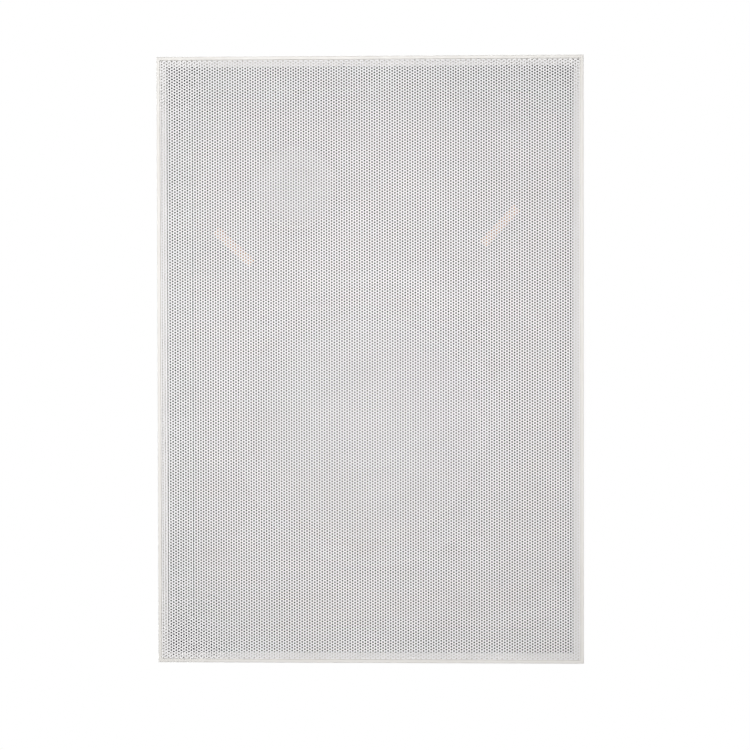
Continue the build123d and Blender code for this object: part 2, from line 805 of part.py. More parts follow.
def terminal_button(side):
    """Push button of a spring terminal."""
    x, z = button_place(side)
    width = BUTTON_W - 2 * BUTTON_CLEAR
    height = BUTTON_H - 2 * BUTTON_CLEAR
    body = block(x, z, width, height, BLOCK_BACK - BUTTON_SUNK, BLOCK_BACK + BUTTON_PROUD)
    return chamfer(body.faces().sort_by(Axis.Y)[-1].edges(), BUTTON_EDGE)


# Leads between tags and board: straight runs joined by arcs

def lead(points):
    """Insulated wire along its route, with arcs as large as the runs allow."""
    route = [Vector(*p) for p in points]
    runs = [b - a for a, b in zip(route, route[1:])]
    radii = []
    for one, two in zip(runs, runs[1:]):
        turn = math.radians(one.get_angle(two))
        radii.append(LEAD_BEND * min(one.length, two.length) / math.tan(turn / 2))
    path = FilletPolyline(*points, radius=radii)
    start = Plane(origin=route[0], z_dir=runs[0])
    return sweep(start * RegularPolygon(LEAD_R, LEAD_SIDES), path=path)


def woofer_leads():
    """Pair of wires from the woofer's tags to the board's lower edge."""
    tag_y = SHELF_Y + BASKET_T + TAG_BOARD_T + TAG_T / 2
    tag_z = WOOFER_Z + SHELF_R - SHELF_W / 2 + TAG_BOARD_L + TAG_OUT
    pad_x, pad_z = on_board(WOOFER_PAD_AT)
    wires = []
    for side in (-1, 1):
        shift = side * TAG_PITCH / 2
        wires.append(lead([
            (WOOFER_X + shift, tag_y, tag_z),
            (WOOFER_X + shift, tag_y, tag_z + WOOFER_LEAD_OUT),
            (pad_x + shift, PARTS_Y + WOOFER_LEAD_STAND, pad_z),
            (pad_x + shift, PARTS_Y, pad_z),
        ]))
    return wires


def tweeter_leads():
    """Pair of wires from the tweeter's tags to the board's left edge."""
    tag_y = TWEETER_BACK + TAG_BOARD_T + TAG_T / 2
    tag_x = TWEETER_X + POT_R - TAG_OUT / 2 + TAG_OUT
    bend_x = tag_x + TWEETER_LEAD_OUT
    arch_y = tag_y + TWEETER_LEAD_RISE
    pad_x = BOARD_X - BOARD_W / 2 + TWEETER_PAD_IN
    wires = []
    for side in (-1, 1):
        z = TWEETER_Z + side * TAG_PITCH / 2
        wires.append(lead([
            (tag_x, tag_y, z),
            (bend_x, tag_y, z),
            (bend_x + TWEETER_LEAD_LEAN, arch_y, z),
            (pad_x, arch_y + TWEETER_LEAD_CREST, z),
            (pad_x, PARTS_Y, z),
        ]))
    return wires


# Clamps

def clamp_screws():
    """Long screws with their heads in the baffle's tray."""
    length = CLAMP_END_Y + CLAMP_TIP - FLOOR_Y
    axes = [clamp_axis(corner)[:2] for corner in CLAMP_CORNERS]
    return [screw(x, z, FLOOR_Y, length, CLAMP_SCREW_R, CLAMP_HEAD_R, CLAMP_HEAD_H) for x, z in axes]


def clamp_nut(corner):
    """Threaded bush with a six-sided flange behind the arm."""
    x, z, _, _ = clamp_axis(corner)
    bush = disc(x, z, BUSH_R, ARM_FRONT, ARM_BACK)
    flange = slab(Pos(x, z) * RegularPolygon(BUSH_FLANGE_R, 6), ARM_BACK, BUSH_BACK)
    return bush + flange - disc(x, z, CLAMP_SCREW_R + CLAMP_THREAD_FIT, ARM_FRONT, BUSH_BACK)


def clamp_arm(corner):
    """Tapered arm that points along the panel's long side at rest, with a toe at its tip."""
    x, z, _, out_z = clamp_axis(corner)
    side = Polyline(
        (0, ARM_FRONT),
        (ARM_REACH - 2 * ARM_TOE_L, ARM_FRONT),
        (ARM_REACH - ARM_TOE_L, ARM_FRONT - ARM_TOE),
        (ARM_REACH, ARM_FRONT - ARM_TOE),
        (ARM_REACH, ARM_FRONT - ARM_TOE + ARM_TIP_T),
        (HUB_R, ARM_BACK),
        (0, ARM_BACK),
        close=True,
    )
    upright = Plane(origin=(x - HUB_R, 0, z), x_dir=(0, 0, -out_z), z_dir=(out_z, 0, 0))
    arm = extrude(upright * make_face(side), out_z * 2 * HUB_R)
    body = arm + disc(x, z, HUB_R, ARM_FRONT, ARM_BACK)
    return body - disc(x, z, BUSH_R + BUSH_FIT, ARM_FRONT, ARM_BACK)


# The pieces and their names

PIECES = {
    "frame": frame(),
    "grille": grille(),
    "grille_magnets": magnets(0, MAGNET_FRONT, MAGNET_BACK),
    "baffle": baffle(),
    "woofer_basket": woofer_basket(),
    "woofer_surround": woofer_surround(),
    "woofer_gasket": woofer_gasket(),
    "woofer_cone": woofer_cone(),
    "woofer_dust_cap": woofer_dust_cap(),
    "woofer_spider": woofer_spider(),
    "voice_coil_former": voice_coil_former(),
    "voice_coil": voice_coil(),
    "woofer_top_plate": woofer_top_plate(),
    "woofer_magnet": woofer_magnet(),
    "woofer_back_plate": woofer_back_plate(),
    "woofer_terminals": woofer_terminals(),
    "woofer_screws": woofer_screws(),
    "tweeter_faceplate": tweeter_faceplate(),
    "tweeter_dome": tweeter_dome(),
    "tweeter_voice_coil": tweeter_voice_coil(),
    "tweeter_pole_plate": tweeter_pole_plate(),
    "tweeter_magnet": tweeter_magnet(),
    "tweeter_pot": tweeter_pot(),
    "tweeter_lock_ring": tweeter_lock_ring(),
    "tweeter_terminals": tweeter_terminals(),
    "crossover_board": crossover_board(),
    "board_screws": board_screws(),
    "woofer_inductor_core": woofer_inductor_core(),
    "woofer_inductor_winding": woofer_inductor_winding(),
    "tweeter_inductor": tweeter_inductor(),
    "woofer_capacitor": lying_can(WOOFER_CAN_AT, WOOFER_CAN_R, WOOFER_CAN_L),
    "tweeter_capacitor": lying_can(TWEETER_CAN_AT, TWEETER_CAN_R, TWEETER_CAN_L),
    "tweeter_resistor": tweeter_resistor(),
    "terminal_block": terminal_block(),
    "terminal_button_red": terminal_button(-1),
    "terminal_button_black": terminal_button(1),
    "woofer_leads": woofer_leads(),
    "tweeter_leads": tweeter_leads(),
    "clamp_screws": clamp_screws(),
}
for pad_side in PAD_SIDES:
    PIECES[f"grille_pad_{pad_side}"] = slab(pad_outline(pad_side), PAD_FRONT, PAD_BACK)
for number in CLAMP_CORNERS:
    PIECES[f"clamp_nut_{number}"] = clamp_nut(number)
    PIECES[f"clamp_arm_{number}"] = clamp_arm(number)

os.makedirs("parts", exist_ok=True)
for name, piece in PIECES.items():
    solid = Compound(children=piece) if isinstance(piece, list) else piece
    export_step(solid, f"parts/{name}.step")
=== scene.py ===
"""Dresses a two-way in-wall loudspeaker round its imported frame.

Metres. Seen from the room, +X is right and +Z is up, and +Y goes into the wall.
"""
import json
import logging
import math
from dataclasses import dataclass
from enum import Enum
from typing import Iterable, Sequence

import bmesh
import bpy
import numpy as np
from mathutils import Matrix, Vector


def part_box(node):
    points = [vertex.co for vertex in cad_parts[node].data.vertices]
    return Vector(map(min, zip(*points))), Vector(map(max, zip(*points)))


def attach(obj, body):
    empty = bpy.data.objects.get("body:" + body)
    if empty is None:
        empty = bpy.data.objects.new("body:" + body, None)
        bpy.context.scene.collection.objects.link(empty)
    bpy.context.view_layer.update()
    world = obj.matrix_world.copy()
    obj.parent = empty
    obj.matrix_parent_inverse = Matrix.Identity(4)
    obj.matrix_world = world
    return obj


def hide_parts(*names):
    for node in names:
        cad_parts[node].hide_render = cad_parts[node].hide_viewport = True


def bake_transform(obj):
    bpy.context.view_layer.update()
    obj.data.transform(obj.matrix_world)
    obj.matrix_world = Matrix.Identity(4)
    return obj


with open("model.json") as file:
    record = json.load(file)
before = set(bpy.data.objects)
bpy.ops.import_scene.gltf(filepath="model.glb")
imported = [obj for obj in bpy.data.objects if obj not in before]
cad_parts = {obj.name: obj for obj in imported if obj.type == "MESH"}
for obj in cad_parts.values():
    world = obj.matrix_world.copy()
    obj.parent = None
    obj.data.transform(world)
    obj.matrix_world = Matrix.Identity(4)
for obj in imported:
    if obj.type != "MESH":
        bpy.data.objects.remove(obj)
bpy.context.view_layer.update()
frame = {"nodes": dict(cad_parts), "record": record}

LOG = logging.getLogger("speaker")
MM = 0.001
WELD = 1e-6
Color = tuple[float, float, float]
Point = tuple[float, float, float]
Profile = Sequence[tuple[float, float]]
Sockets = tuple[bpy.types.NodeSocket, ...]


# Patterns and finishes


class Pattern(Enum):
    """Surface patterns that a finish can have."""

    MOULDED = "Moulded grain"
    POWDER = "Powder coat"
    TURNED = "Turned rings"
    ROLLED = "Rolled streaks"
    WOUND = "Wound wire"
    WOVEN = "Woven cloth"
    FIBRE = "Pressed fibre"
    SINTERED = "Sintered grain"
    TRACKS = "Circuit tracks"


class NodeBench:
    """Adds and links nodes in one node tree."""

    def __init__(self, tree: bpy.types.NodeTree) -> None:
        """Keeps the tree to work on."""
        self.tree = tree

    def add(self, kind: str, inputs: dict | None = None, **settings: object) -> bpy.types.Node:
        """Adds a node.

        Args:
            kind: The node's type.
            inputs: Values or sockets for its inputs, by name or number.
            settings: Values for the node's own properties.

        Returns:
            The new node.
        """
        node = self.tree.nodes.new(kind)
        for name, value in settings.items():
            setattr(node, name, value)
        for name, value in (inputs or {}).items():
            if isinstance(value, bpy.types.NodeSocket):
                self.tree.links.new(value, node.inputs[name])
            else:
                node.inputs[name].default_value = value
        return node

    def math(self, operation: str, first: object, second: object = 0.0) -> bpy.types.NodeSocket:
        """Adds a Math node of two inputs and returns its result."""
        return self.add("ShaderNodeMath", {0: first, 1: second}, operation=operation).outputs[0]

    def noise(
        self, vector: object, scale: object, detail: float = 2.0, bend: float = 0.0
    ) -> bpy.types.NodeSocket:
        """Adds a noise over space and returns its value."""
        inputs = {"Vector": vector, "Scale": scale, "Detail": detail, "Distortion": bend}
        return self.add("ShaderNodeTexNoise", inputs).outputs[0]

    def line_noise(self, along: object) -> bpy.types.NodeSocket:
        """Adds a noise along one coordinate and returns its value."""
        return self.add("ShaderNodeTexNoise", {"W": along, "Scale": 1.0}, noise_dimensions="1D").outputs[0]

    def ramp(
        self, value: object, low: float, high: float, start: float = 0.0, end: float = 1.0
    ) -> bpy.types.NodeSocket:
        """Stretches a value's range from low..high to start..end, and returns the result."""
        inputs = {"Value": value, "From Min": low, "From Max": high, "To Min": start, "To Max": end}
        return self.add("ShaderNodeMapRange", inputs).outputs[0]

    def axes(self, vector: object) -> Sockets:
        """Splits a vector and returns its x, y and z."""
        return tuple(self.add("ShaderNodeSeparateXYZ", {0: vector}).outputs)


class PatternShop:
    """Builds each pattern once, as a shader node group."""

    def __init__(self) -> None:
        """Starts with no groups built."""
        self.groups: dict[Pattern, bpy.types.NodeTree] = {}
        self.recipes = {
            Pattern.MOULDED: self.moulded,
            Pattern.POWDER: self.powder,
            Pattern.TURNED: self.turned,
            Pattern.ROLLED: self.rolled,
            Pattern.WOUND: self.wound,
            Pattern.WOVEN: self.woven,
            Pattern.FIBRE: self.fibre,
            Pattern.SINTERED: self.sintered,
            Pattern.TRACKS: self.tracks,
        }

    def open_group(self, name: str, values: Sequence[str], results: Sequence[str]) -> NodeBench:
        """Starts a node group with the input Vector and some numbers in and out.

        Args:
            name: The group's name.
            values: Names of the other inputs.
            results: Names of the outputs.

        Returns:
            A bench on the new group.
        """
        tree = bpy.data.node_groups.new(name, "ShaderNodeTree")
        tree.interface.new_socket("Vector", in_out="INPUT", socket_type="NodeSocketVector")
        for side, sockets in (("INPUT", values), ("OUTPUT", results)):
            for socket in sockets:
                tree.interface.new_socket(socket, in_out=side, socket_type="NodeSocketFloat")
        return NodeBench(tree)

    def group(self, pattern: Pattern) -> bpy.types.NodeTree:
        """Gives a pattern's node group, built at its first use.

        Args:
            pattern: The pattern.

        Returns:
            A group with inputs Vector and Scale and outputs Tone, Gloss and Height.
        """
        if pattern not in self.groups:
            bench = self.open_group(pattern.value, ("Scale",), ("Tone", "Gloss", "Height"))
            start = bench.add("NodeGroupInput").outputs
            results = self.recipes[pattern](bench, start["Vector"], start["Scale"])
            bench.add("NodeGroupOutput", dict(enumerate(results)))
            self.groups[pattern] = bench.tree
        return self.groups[pattern]

    def fade(self) -> bpy.types.NodeTree:
        """Gives the node group of painted shade, which follows a round piece from its middle to its rim.

        Returns:
            A group with inputs Vector, Inner and Outer, two radii, and output Mask.
        """
        name = "Round fade"
        tree = bpy.data.node_groups.get(name)
        if tree:
            return tree
        bench = self.open_group(name, ("Inner", "Outer"), ("Mask",))
        start = bench.add("NodeGroupInput").outputs
        away = self.radius(bench, start["Vector"])
        inputs = {"Value": away, "From Min": start["Inner"], "From Max": start["Outer"]}
        painted_shade_mask = bench.add("ShaderNodeMapRange", inputs, interpolation_type="SMOOTHSTEP").outputs[0]
        bench.add("NodeGroupOutput", {0: painted_shade_mask})
        return bench.tree

    def mottle(self, bench: NodeBench, vector: object, scale: object, coarse: float) -> bpy.types.NodeSocket:
        """Adds a broad, slow change of tone, coarser than the pattern by a factor."""
        broad = bench.noise(vector, bench.math("DIVIDE", scale, coarse), detail=4.0)
        return bench.ramp(broad, 0.32, 0.68)

    def radius(self, bench: NodeBench, vector: object) -> bpy.types.NodeSocket:
        """Adds the distance from the axis along Y.

        Args:
            bench: Where the nodes are added.
            vector: The place looked at.

        Returns:
            The distance.
        """
        x, _, z = bench.axes(vector)
        squares = bench.math("ADD", bench.math("MULTIPLY", x, x), bench.math("MULTIPLY", z, z))
        return bench.math("SQRT", squares)

    def moulded(self, bench: NodeBench, vector: object, scale: object) -> Sockets:
        """Fine etched grain of a plastic moulding.

        Args:
            bench: Where the nodes are added.
            vector: The place looked at.
            scale: How fine the pattern is.

        Returns:
            Tone, gloss and height.
        """
        gloss = bench.noise(vector, bench.math("DIVIDE", scale, 12.0))
        tone = self.mottle(bench, vector, scale, 90.0)
        return tone, bench.ramp(gloss, 0.3, 0.7), bench.noise(vector, scale)

    def powder(self, bench: NodeBench, vector: object, scale: object) -> Sockets:
        """Soft pebbled skin of baked powder paint.

        Args:
            bench: Where the nodes are added.
            vector: The place looked at.
            scale: How fine the pattern is.

        Returns:
            Tone, gloss and height.
        """
        inputs = {"Vector": vector, "Scale": scale}
        cells = bench.add("ShaderNodeTexVoronoi", inputs, feature="SMOOTH_F1").outputs[0]
        skin = bench.noise(vector, bench.math("DIVIDE", scale, 2.5), detail=1.0)
        height = bench.math("ADD", bench.math("MULTIPLY", cells, 0.4), skin)
        return self.mottle(bench, vector, scale, 60.0), bench.ramp(skin, 0.3, 0.7), height

    def turned(self, bench: NodeBench, vector: object, scale: object) -> Sockets:
        """Fine rings left by a lathe, about the axis along Y.

        Args:
            bench: Where the nodes are added.
            vector: The place looked at.
            scale: How fine the pattern is.

        Returns:
            Tone, gloss and height.
        """
        rings = bench.line_noise(bench.math("MULTIPLY", self.radius(bench, vector), scale))
        smear = self.mottle(bench, vector, scale, 50.0)
        tone = bench.math("MULTIPLY", bench.ramp(rings, 0.25, 0.75), smear)
        return tone, bench.ramp(rings, 0.3, 0.7), rings

    def rolled(self, bench: NodeBench, vector: object, scale: object) -> Sockets:
        """Streaks along Z from rolling or plating.

        Args:
            bench: Where the nodes are added.
            vector: The place looked at.
            scale: How fine the pattern is.

        Returns:
            Tone, gloss and height.
        """
        inputs = {0: vector, 1: (1.0, 1.0, 0.04)}
        drawn = bench.add("ShaderNodeVectorMath", inputs, operation="MULTIPLY").outputs[0]
        streaks = bench.noise(drawn, scale, detail=3.0)
        return self.mottle(bench, vector, scale, 20.0), bench.ramp(streaks, 0.3, 0.7), streaks

    def wound(self, bench: NodeBench, vector: object, scale: object) -> Sockets:
        """Round wires side by side, wound about the axis along Y.

        Args:
            bench: Where the nodes are added.
            vector: The place looked at.
            scale: How fine the pattern is.

        Returns:
            Tone, gloss and height.
        """
        _, y, _ = bench.axes(vector)
        across = bench.math("FRACT", bench.math("MULTIPLY", y, scale))
        off = bench.math("SUBTRACT", bench.math("MULTIPLY", across, 2.0), 1.0)
        height = bench.math("SQRT", bench.math("SUBTRACT", 1.0, bench.math("MULTIPLY", off, off)))
        # Painted shade: the gaps between the wires take the darker tone.
        tone = bench.ramp(height, 0.15, 0.75, 1.0, 0.0)
        return tone, self.mottle(bench, vector, scale, 4.0), height

    def woven(self, bench: NodeBench, vector: object, scale: object) -> Sockets:
        """Plain weave of threads along X and Z.

        Args:
            bench: Where the nodes are added.
            vector: The place looked at.
            scale: How fine the pattern is.

        Returns:
            Tone, gloss and height.
        """
        x, _, z = bench.axes(vector)
        along = bench.math("MULTIPLY", x, scale)
        across = bench.math("MULTIPLY", z, scale)
        half = math.pi / 2
        warp = bench.math("ABSOLUTE", bench.math("SINE", bench.math("MULTIPLY", along, math.pi)))
        weft = bench.math("ABSOLUTE", bench.math("SINE", bench.math("MULTIPLY", across, math.pi)))
        turns = bench.math(
            "MULTIPLY",
            bench.math("SINE", bench.math("MULTIPLY", along, half)),
            bench.math("SINE", bench.math("MULTIPLY", across, half)),
        )
        over = bench.math("GREATER_THAN", turns, 0.0)
        under = bench.math("SUBTRACT", 1.0, over)
        height = bench.math("ADD", bench.math("MULTIPLY", warp, over), bench.math("MULTIPLY", weft, under))
        # Painted shade: the low places between the threads take the darker tone.
        return bench.ramp(height, 0.1, 0.8, 1.0, 0.0), self.mottle(bench, vector, scale, 8.0), height

    def fibre(self, bench: NodeBench, vector: object, scale: object) -> Sockets:
        """Matted fibres of a pressed cone, with faint pressing rings.

        Args:
            bench: Where the nodes are added.
            vector: The place looked at.
            scale: How fine the pattern is.

        Returns:
            Tone, gloss and height.
        """
        fibres = bench.noise(vector, scale, detail=5.0, bend=2.5)
        half = bench.math("DIVIDE", scale, 2.0)
        rings = bench.line_noise(bench.math("MULTIPLY", self.radius(bench, vector), half))
        height = bench.math("ADD", fibres, bench.math("MULTIPLY", rings, 0.6))
        return self.mottle(bench, vector, scale, 12.0), bench.ramp(fibres, 0.3, 0.7), height

    def sintered(self, bench: NodeBench, vector: object, scale: object) -> Sockets:
        """Gritty face of pressed and fired powder."""
        grit = bench.add("ShaderNodeTexVoronoi", {"Vector": vector, "Scale": scale}).outputs[0]
        return self.mottle(bench, vector, scale, 10.0), bench.ramp(grit, 0.1, 0.6), grit

    def tracks(self, bench: NodeBench, vector: object, scale: object) -> Sockets:
        """Square copper areas and the gaps between them, under a lacquer.

        Args:
            bench: Where the nodes are added.
            vector: The place looked at.
            scale: How fine the pattern is.

        Returns:
            Tone, gloss and height.
        """
        x, _, z = bench.axes(vector)
        flat = bench.add("ShaderNodeCombineXYZ", {0: x, 1: z}).outputs[0]
        inputs = {"Vector": flat, "Scale": scale, "Randomness": 0.8}
        near = bench.add("ShaderNodeTexVoronoi", inputs, distance="CHEBYCHEV").outputs[0]
        second = bench.add("ShaderNodeTexVoronoi", inputs, distance="CHEBYCHEV", feature="F2").outputs[0]
        copper = bench.ramp(bench.math("SUBTRACT", second, near), 0.05, 0.1)
        return copper, self.mottle(bench, vector, scale, 0.2), copper


PATTERNS = PatternShop()


@dataclass(frozen=True)
class Finish:
    """One finish: its two tones, gloss, relief, pattern and, on a round piece, the colour of a painted shade
    that darkens it towards its rim.
    """

    light: Color
    dark: Color
    pattern: Pattern
    scale: float
    rough: tuple[float, float] = (0.45, 0.6)
    relief: float = 0.02 * MM
    metallic: float = 0.0
    coat: float = 0.0
    sheen: float = 0.0
    edge: float = 0.25 * MM
    # Painted shade: rim is the colour that a round piece darkens to near its edge, and the span after it
    # gives the radii where the darkening starts and is full.
    rim: Color | None = None
    painted_shade_span: tuple[float, float] = (0.0, 1.0)

    def material(self, name: str, centre: Point = (0.0, 0.0, 0.0)) -> bpy.types.Material:
        """Makes the finish as a material.

        Args:
            name: The material's name.
            centre: Where the pattern is centred.

        Returns:
            The material.
        """
        made = bpy.data.materials.get(name)
        if made:
            return made
        made = bpy.data.materials.new(name)
        made.use_nodes = True
        bench = NodeBench(made.node_tree)
        shader = made.node_tree.nodes["Principled BSDF"]
        place = bench.add("ShaderNodeTexCoord").outputs["Object"]
        moved = bench.add("ShaderNodeMapping", {"Vector": place, "Location": [-c for c in centre]}).outputs[0]
        group = bench.add("ShaderNodeGroup", node_tree=PATTERNS.group(self.pattern))
        bench.tree.links.new(moved, group.inputs["Vector"])
        group.inputs["Scale"].default_value = self.scale
        tones = {0: group.outputs["Tone"], 6: (*self.light, 1.0), 7: (*self.dark, 1.0)}
        color = bench.add("ShaderNodeMix", tones, data_type="RGBA").outputs[2]
        # Painted shade: on a round piece the colour darkens from its middle out to the rim colour.
        if self.rim:
            inner, outer = self.painted_shade_span
            spans = {"Vector": moved, "Inner": inner, "Outer": outer}
            painted_shade_mask = bench.add("ShaderNodeGroup", spans, node_tree=PATTERNS.fade()).outputs[0]
            tones = {0: painted_shade_mask, 6: color, 7: (*self.rim, 1.0)}
            color = bench.add("ShaderNodeMix", tones, data_type="RGBA").outputs[2]
        rough = bench.ramp(group.outputs["Gloss"], 0.0, 1.0, *self.rough)
        bump = {"Strength": 0.7, "Distance": self.relief, "Height": group.outputs["Height"]}
        if self.edge:
            bump["Normal"] = bench.add("ShaderNodeBevel", {"Radius": self.edge}, samples=4).outputs[0]
        normal = bench.add("ShaderNodeBump", bump).outputs[0]
        for socket, value in {"Base Color": color, "Roughness": rough, "Normal": normal}.items():
            bench.tree.links.new(value, shader.inputs[socket])
        shader.inputs["Metallic"].default_value = self.metallic
        shader.inputs["Coat Weight"].default_value = self.coat
        shader.inputs["Sheen Weight"].default_value = self.sheen
        return made


def gray(value: float, warm: float = 0.0) -> Color:
    """Gives a gray, warmer where asked."""
    return (value, value - warm / 2, value - warm)


FINISHES = {
    "frame_white": Finish(
        (0.77, 0.752, 0.72), (0.752, 0.728, 0.69), Pattern.MOULDED, 3500, (0.4, 0.5), 0.012 * MM
    ),
    "grille_white": Finish(
        (0.885, 0.873, 0.879), (0.865, 0.853, 0.857), Pattern.POWDER, 2500, (0.5, 0.62), 0.01 * MM, edge=0.0
    ),
    "baffle_black": Finish(
        (0.08, 0.075, 0.077), (0.064, 0.06, 0.062), Pattern.MOULDED, 2200, (0.55, 0.7), 0.05 * MM
    ),
    "pad_orange": Finish(
        (0.4, 0.245, 0.17), (0.36, 0.215, 0.145), Pattern.MOULDED, 1800, (0.7, 0.85), 0.06 * MM
    ),
    "magnet_black": Finish(
        gray(0.022), gray(0.015), Pattern.POWDER, 2000, (0.82, 0.92), 0.01 * MM, edge=0.0
    ),
    "magnet_nickel": Finish(
        gray(0.66, 0.02), gray(0.56, 0.03), Pattern.ROLLED, 2500, (0.2, 0.34), metallic=1.0
    ),
    "cone_gray": Finish(
        (0.26, 0.253, 0.258), (0.225, 0.218, 0.223), Pattern.FIBRE, 900, (0.4, 0.6), 0.08 * MM, sheen=0.1,
        # Painted shade: the cone darkens from 18 mm out to 62 mm from its middle.
        rim=(0.145, 0.139, 0.143), painted_shade_span=(18 * MM, 62 * MM),
    ),
    "surround_rubber": Finish(
        (0.105, 0.1, 0.103), (0.09, 0.085, 0.088), Pattern.MOULDED, 1500, (0.5, 0.65), 0.03 * MM, sheen=0.1
    ),
    "gasket_foam": Finish(gray(0.085), gray(0.065), Pattern.SINTERED, 2600, (0.85, 0.95), 0.1 * MM),
    "basket_black": Finish(
        gray(0.07), gray(0.054), Pattern.POWDER, 1600, (0.32, 0.45), 0.03 * MM, edge=0.4 * MM
    ),
    # Painted shade: the dark tone fills the low places between the woven threads.
    "spider_cloth": Finish(
        (0.66, 0.47, 0.17), (0.4, 0.26, 0.08), Pattern.WOVEN, 1700, (0.75, 0.9), 0.12 * MM,
        sheen=0.2, edge=0.0,
    ),
    "former_foil": Finish(
        gray(0.75), gray(0.66), Pattern.ROLLED, 3000, (0.22, 0.34), metallic=1.0, edge=0.0
    ),
    # Painted shade: the dark tone fills the gaps between the wound turns.
    "copper_wire": Finish(
        (0.74, 0.33, 0.13), (0.24, 0.08, 0.03), Pattern.WOUND, 2500, (0.2, 0.32), 0.1 * MM, 1.0, 0.3
    ),
    "plate_steel": Finish(
        gray(0.55, -0.02), gray(0.38, -0.02), Pattern.TURNED, 2500, (0.26, 0.48), 0.02 * MM, 1.0
    ),
    "ferrite": Finish(
        gray(0.075), gray(0.045), Pattern.SINTERED, 1500, (0.45, 0.65), 0.05 * MM, edge=0.5 * MM
    ),
    "tweeter_silver": Finish(
        (0.25, 0.242, 0.244), (0.225, 0.217, 0.219), Pattern.MOULDED, 3000, (0.35, 0.45), 0.012 * MM,
        # Painted shade: the tweeter darkens from 14 mm out to 22 mm from its middle.
        edge=0.4 * MM, rim=(0.14, 0.134, 0.136), painted_shade_span=(14 * MM, 22 * MM),
    ),
    # Painted shade: the dark tone fills the low places between the woven threads.
    "dome_silk": Finish(
        gray(0.26), gray(0.18), Pattern.WOVEN, 2600, (0.45, 0.6), 0.05 * MM, sheen=0.3, edge=0.0
    ),
    "ring_black": Finish(gray(0.045), gray(0.034), Pattern.MOULDED, 2500, (0.45, 0.6), 0.03 * MM),
    # Painted shade: the dark tone fills the low places between the woven threads.
    "tag_board": Finish((0.36, 0.21, 0.1), (0.26, 0.14, 0.06), Pattern.WOVEN, 1300, (0.5, 0.65), 0.03 * MM),
    "circuit_green": Finish(
        (0.02, 0.13, 0.055), (0.035, 0.23, 0.09), Pattern.TRACKS, 110, (0.18, 0.3), 0.035 * MM, coat=0.4
    ),
    "capacitor_film": Finish(
        (0.8, 0.53, 0.06), (0.7, 0.43, 0.04), Pattern.ROLLED, 900, (0.22, 0.34), coat=0.4
    ),
    "resistor_cement": Finish(
        gray(0.8, 0.05), gray(0.68, 0.06), Pattern.SINTERED, 2200, (0.75, 0.9), 0.06 * MM
    ),
    "terminal_black": Finish(gray(0.035), gray(0.025), Pattern.MOULDED, 2500, (0.4, 0.55), 0.03 * MM),
    "button_red": Finish(
        (0.62, 0.03, 0.03), (0.52, 0.02, 0.02), Pattern.MOULDED, 2500, (0.25, 0.35), 0.01 * MM
    ),
    "button_black": Finish(gray(0.03), gray(0.022), Pattern.MOULDED, 2500, (0.25, 0.35), 0.01 * MM),
    "lead_sleeve": Finish(
        (0.5, 0.025, 0.02), (0.42, 0.02, 0.016), Pattern.MOULDED, 2500, (0.35, 0.5), edge=0.0
    ),
    "screw_black": Finish(gray(0.055), gray(0.04), Pattern.SINTERED, 1500, (0.35, 0.5), 0.01 * MM),
    "screw_zinc": Finish(
        gray(0.68, 0.03), gray(0.55, 0.05), Pattern.SINTERED, 1200, (0.25, 0.4), 0.01 * MM, 1.0
    ),
    "nut_brass": Finish(
        (0.78, 0.57, 0.22), (0.66, 0.45, 0.15), Pattern.TURNED, 5000, (0.2, 0.35), 0.01 * MM, 1.0
    ),
    "clamp_black": Finish(
        gray(0.05), gray(0.035), Pattern.MOULDED, 1600, (0.5, 0.65), 0.05 * MM, edge=0.4 * MM
    ),
}
SLEEVE_BLACK = Finish(gray(0.025), gray(0.018), Pattern.MOULDED, 2500, (0.35, 0.5), edge=0.0)
FLOOR_PALE = Finish(gray(0.62), gray(0.6), Pattern.MOULDED, 400, (0.8, 0.9), edge=0.0)
SOLDER = Finish(gray(0.7), gray(0.6), Pattern.SINTERED, 1500, (0.2, 0.32), 0.01 * MM, 1.0, edge=0.0)
TINNED = Finish(gray(0.72, 0.02), gray(0.6, 0.02), Pattern.ROLLED, 2500, (0.22, 0.36), 0.01 * MM, 1.0)
COPPER_PLAIN = Finish(
    (0.74, 0.33, 0.13), (0.6, 0.24, 0.08), Pattern.ROLLED, 900, (0.18, 0.3), 0.01 * MM, 1.0, 0.3, edge=0.0
)


# Meshes


@dataclass(frozen=True)
class Piece:
    """What a new piece is called, and the body, slot and nodes that it goes with."""

    name: str
    body: str
    slot: str
    nodes: tuple[str, ...] = ()
    finish: Finish | None = None
    centre: Point = (0.0, 0.0, 0.0)
    sharp_deg: float = 35.0

    def dress(self, made: bpy.types.Object) -> bpy.types.Object:
        """Gives an object its material, from its finish or its slot, and hides the nodes that it stands for.

        Args:
            made: The object.

        Returns:
            The same object.
        """
        finish = self.finish or FINISHES[self.slot]
        made.data.materials.append(finish.material(f"{self.name}_finish", self.centre))
        if self.nodes:
            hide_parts(*self.nodes)
        return made

    def build(self, mesh: bmesh.types.BMesh, ride: bool = True) -> bpy.types.Object:
        """Turns a finished bmesh into a dressed object.

        Args:
            mesh: The shape, which is freed.
            ride: False leaves the object without a parent.

        Returns:
            The object.
        """
        data = bpy.data.meshes.new(self.name)
        mesh.to_mesh(data)
        mesh.free()
        data.polygons.foreach_set("use_smooth", [True] * len(data.polygons))
        data.set_sharp_from_angle(angle=math.radians(self.sharp_deg))
        made = bpy.data.objects.new(self.name, data)
        bpy.context.scene.collection.objects.link(made)
        self.dress(made)
        if ride:
            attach(made, self.body)
        data.calc_loop_triangles()
        LOG.info("%s on %s: %d triangles", self.name, self.body, len(data.loop_triangles))
        return made


def close_up(mesh: bmesh.types.BMesh) -> bmesh.types.BMesh:
    """Merges doubles and points every face outwards.

    Args:
        mesh: The shape.

    Returns:
        The same shape.
    """
    bmesh.ops.remove_doubles(mesh, verts=mesh.verts, dist=WELD)
    bmesh.ops.recalc_face_normals(mesh, faces=mesh.faces)
    return mesh


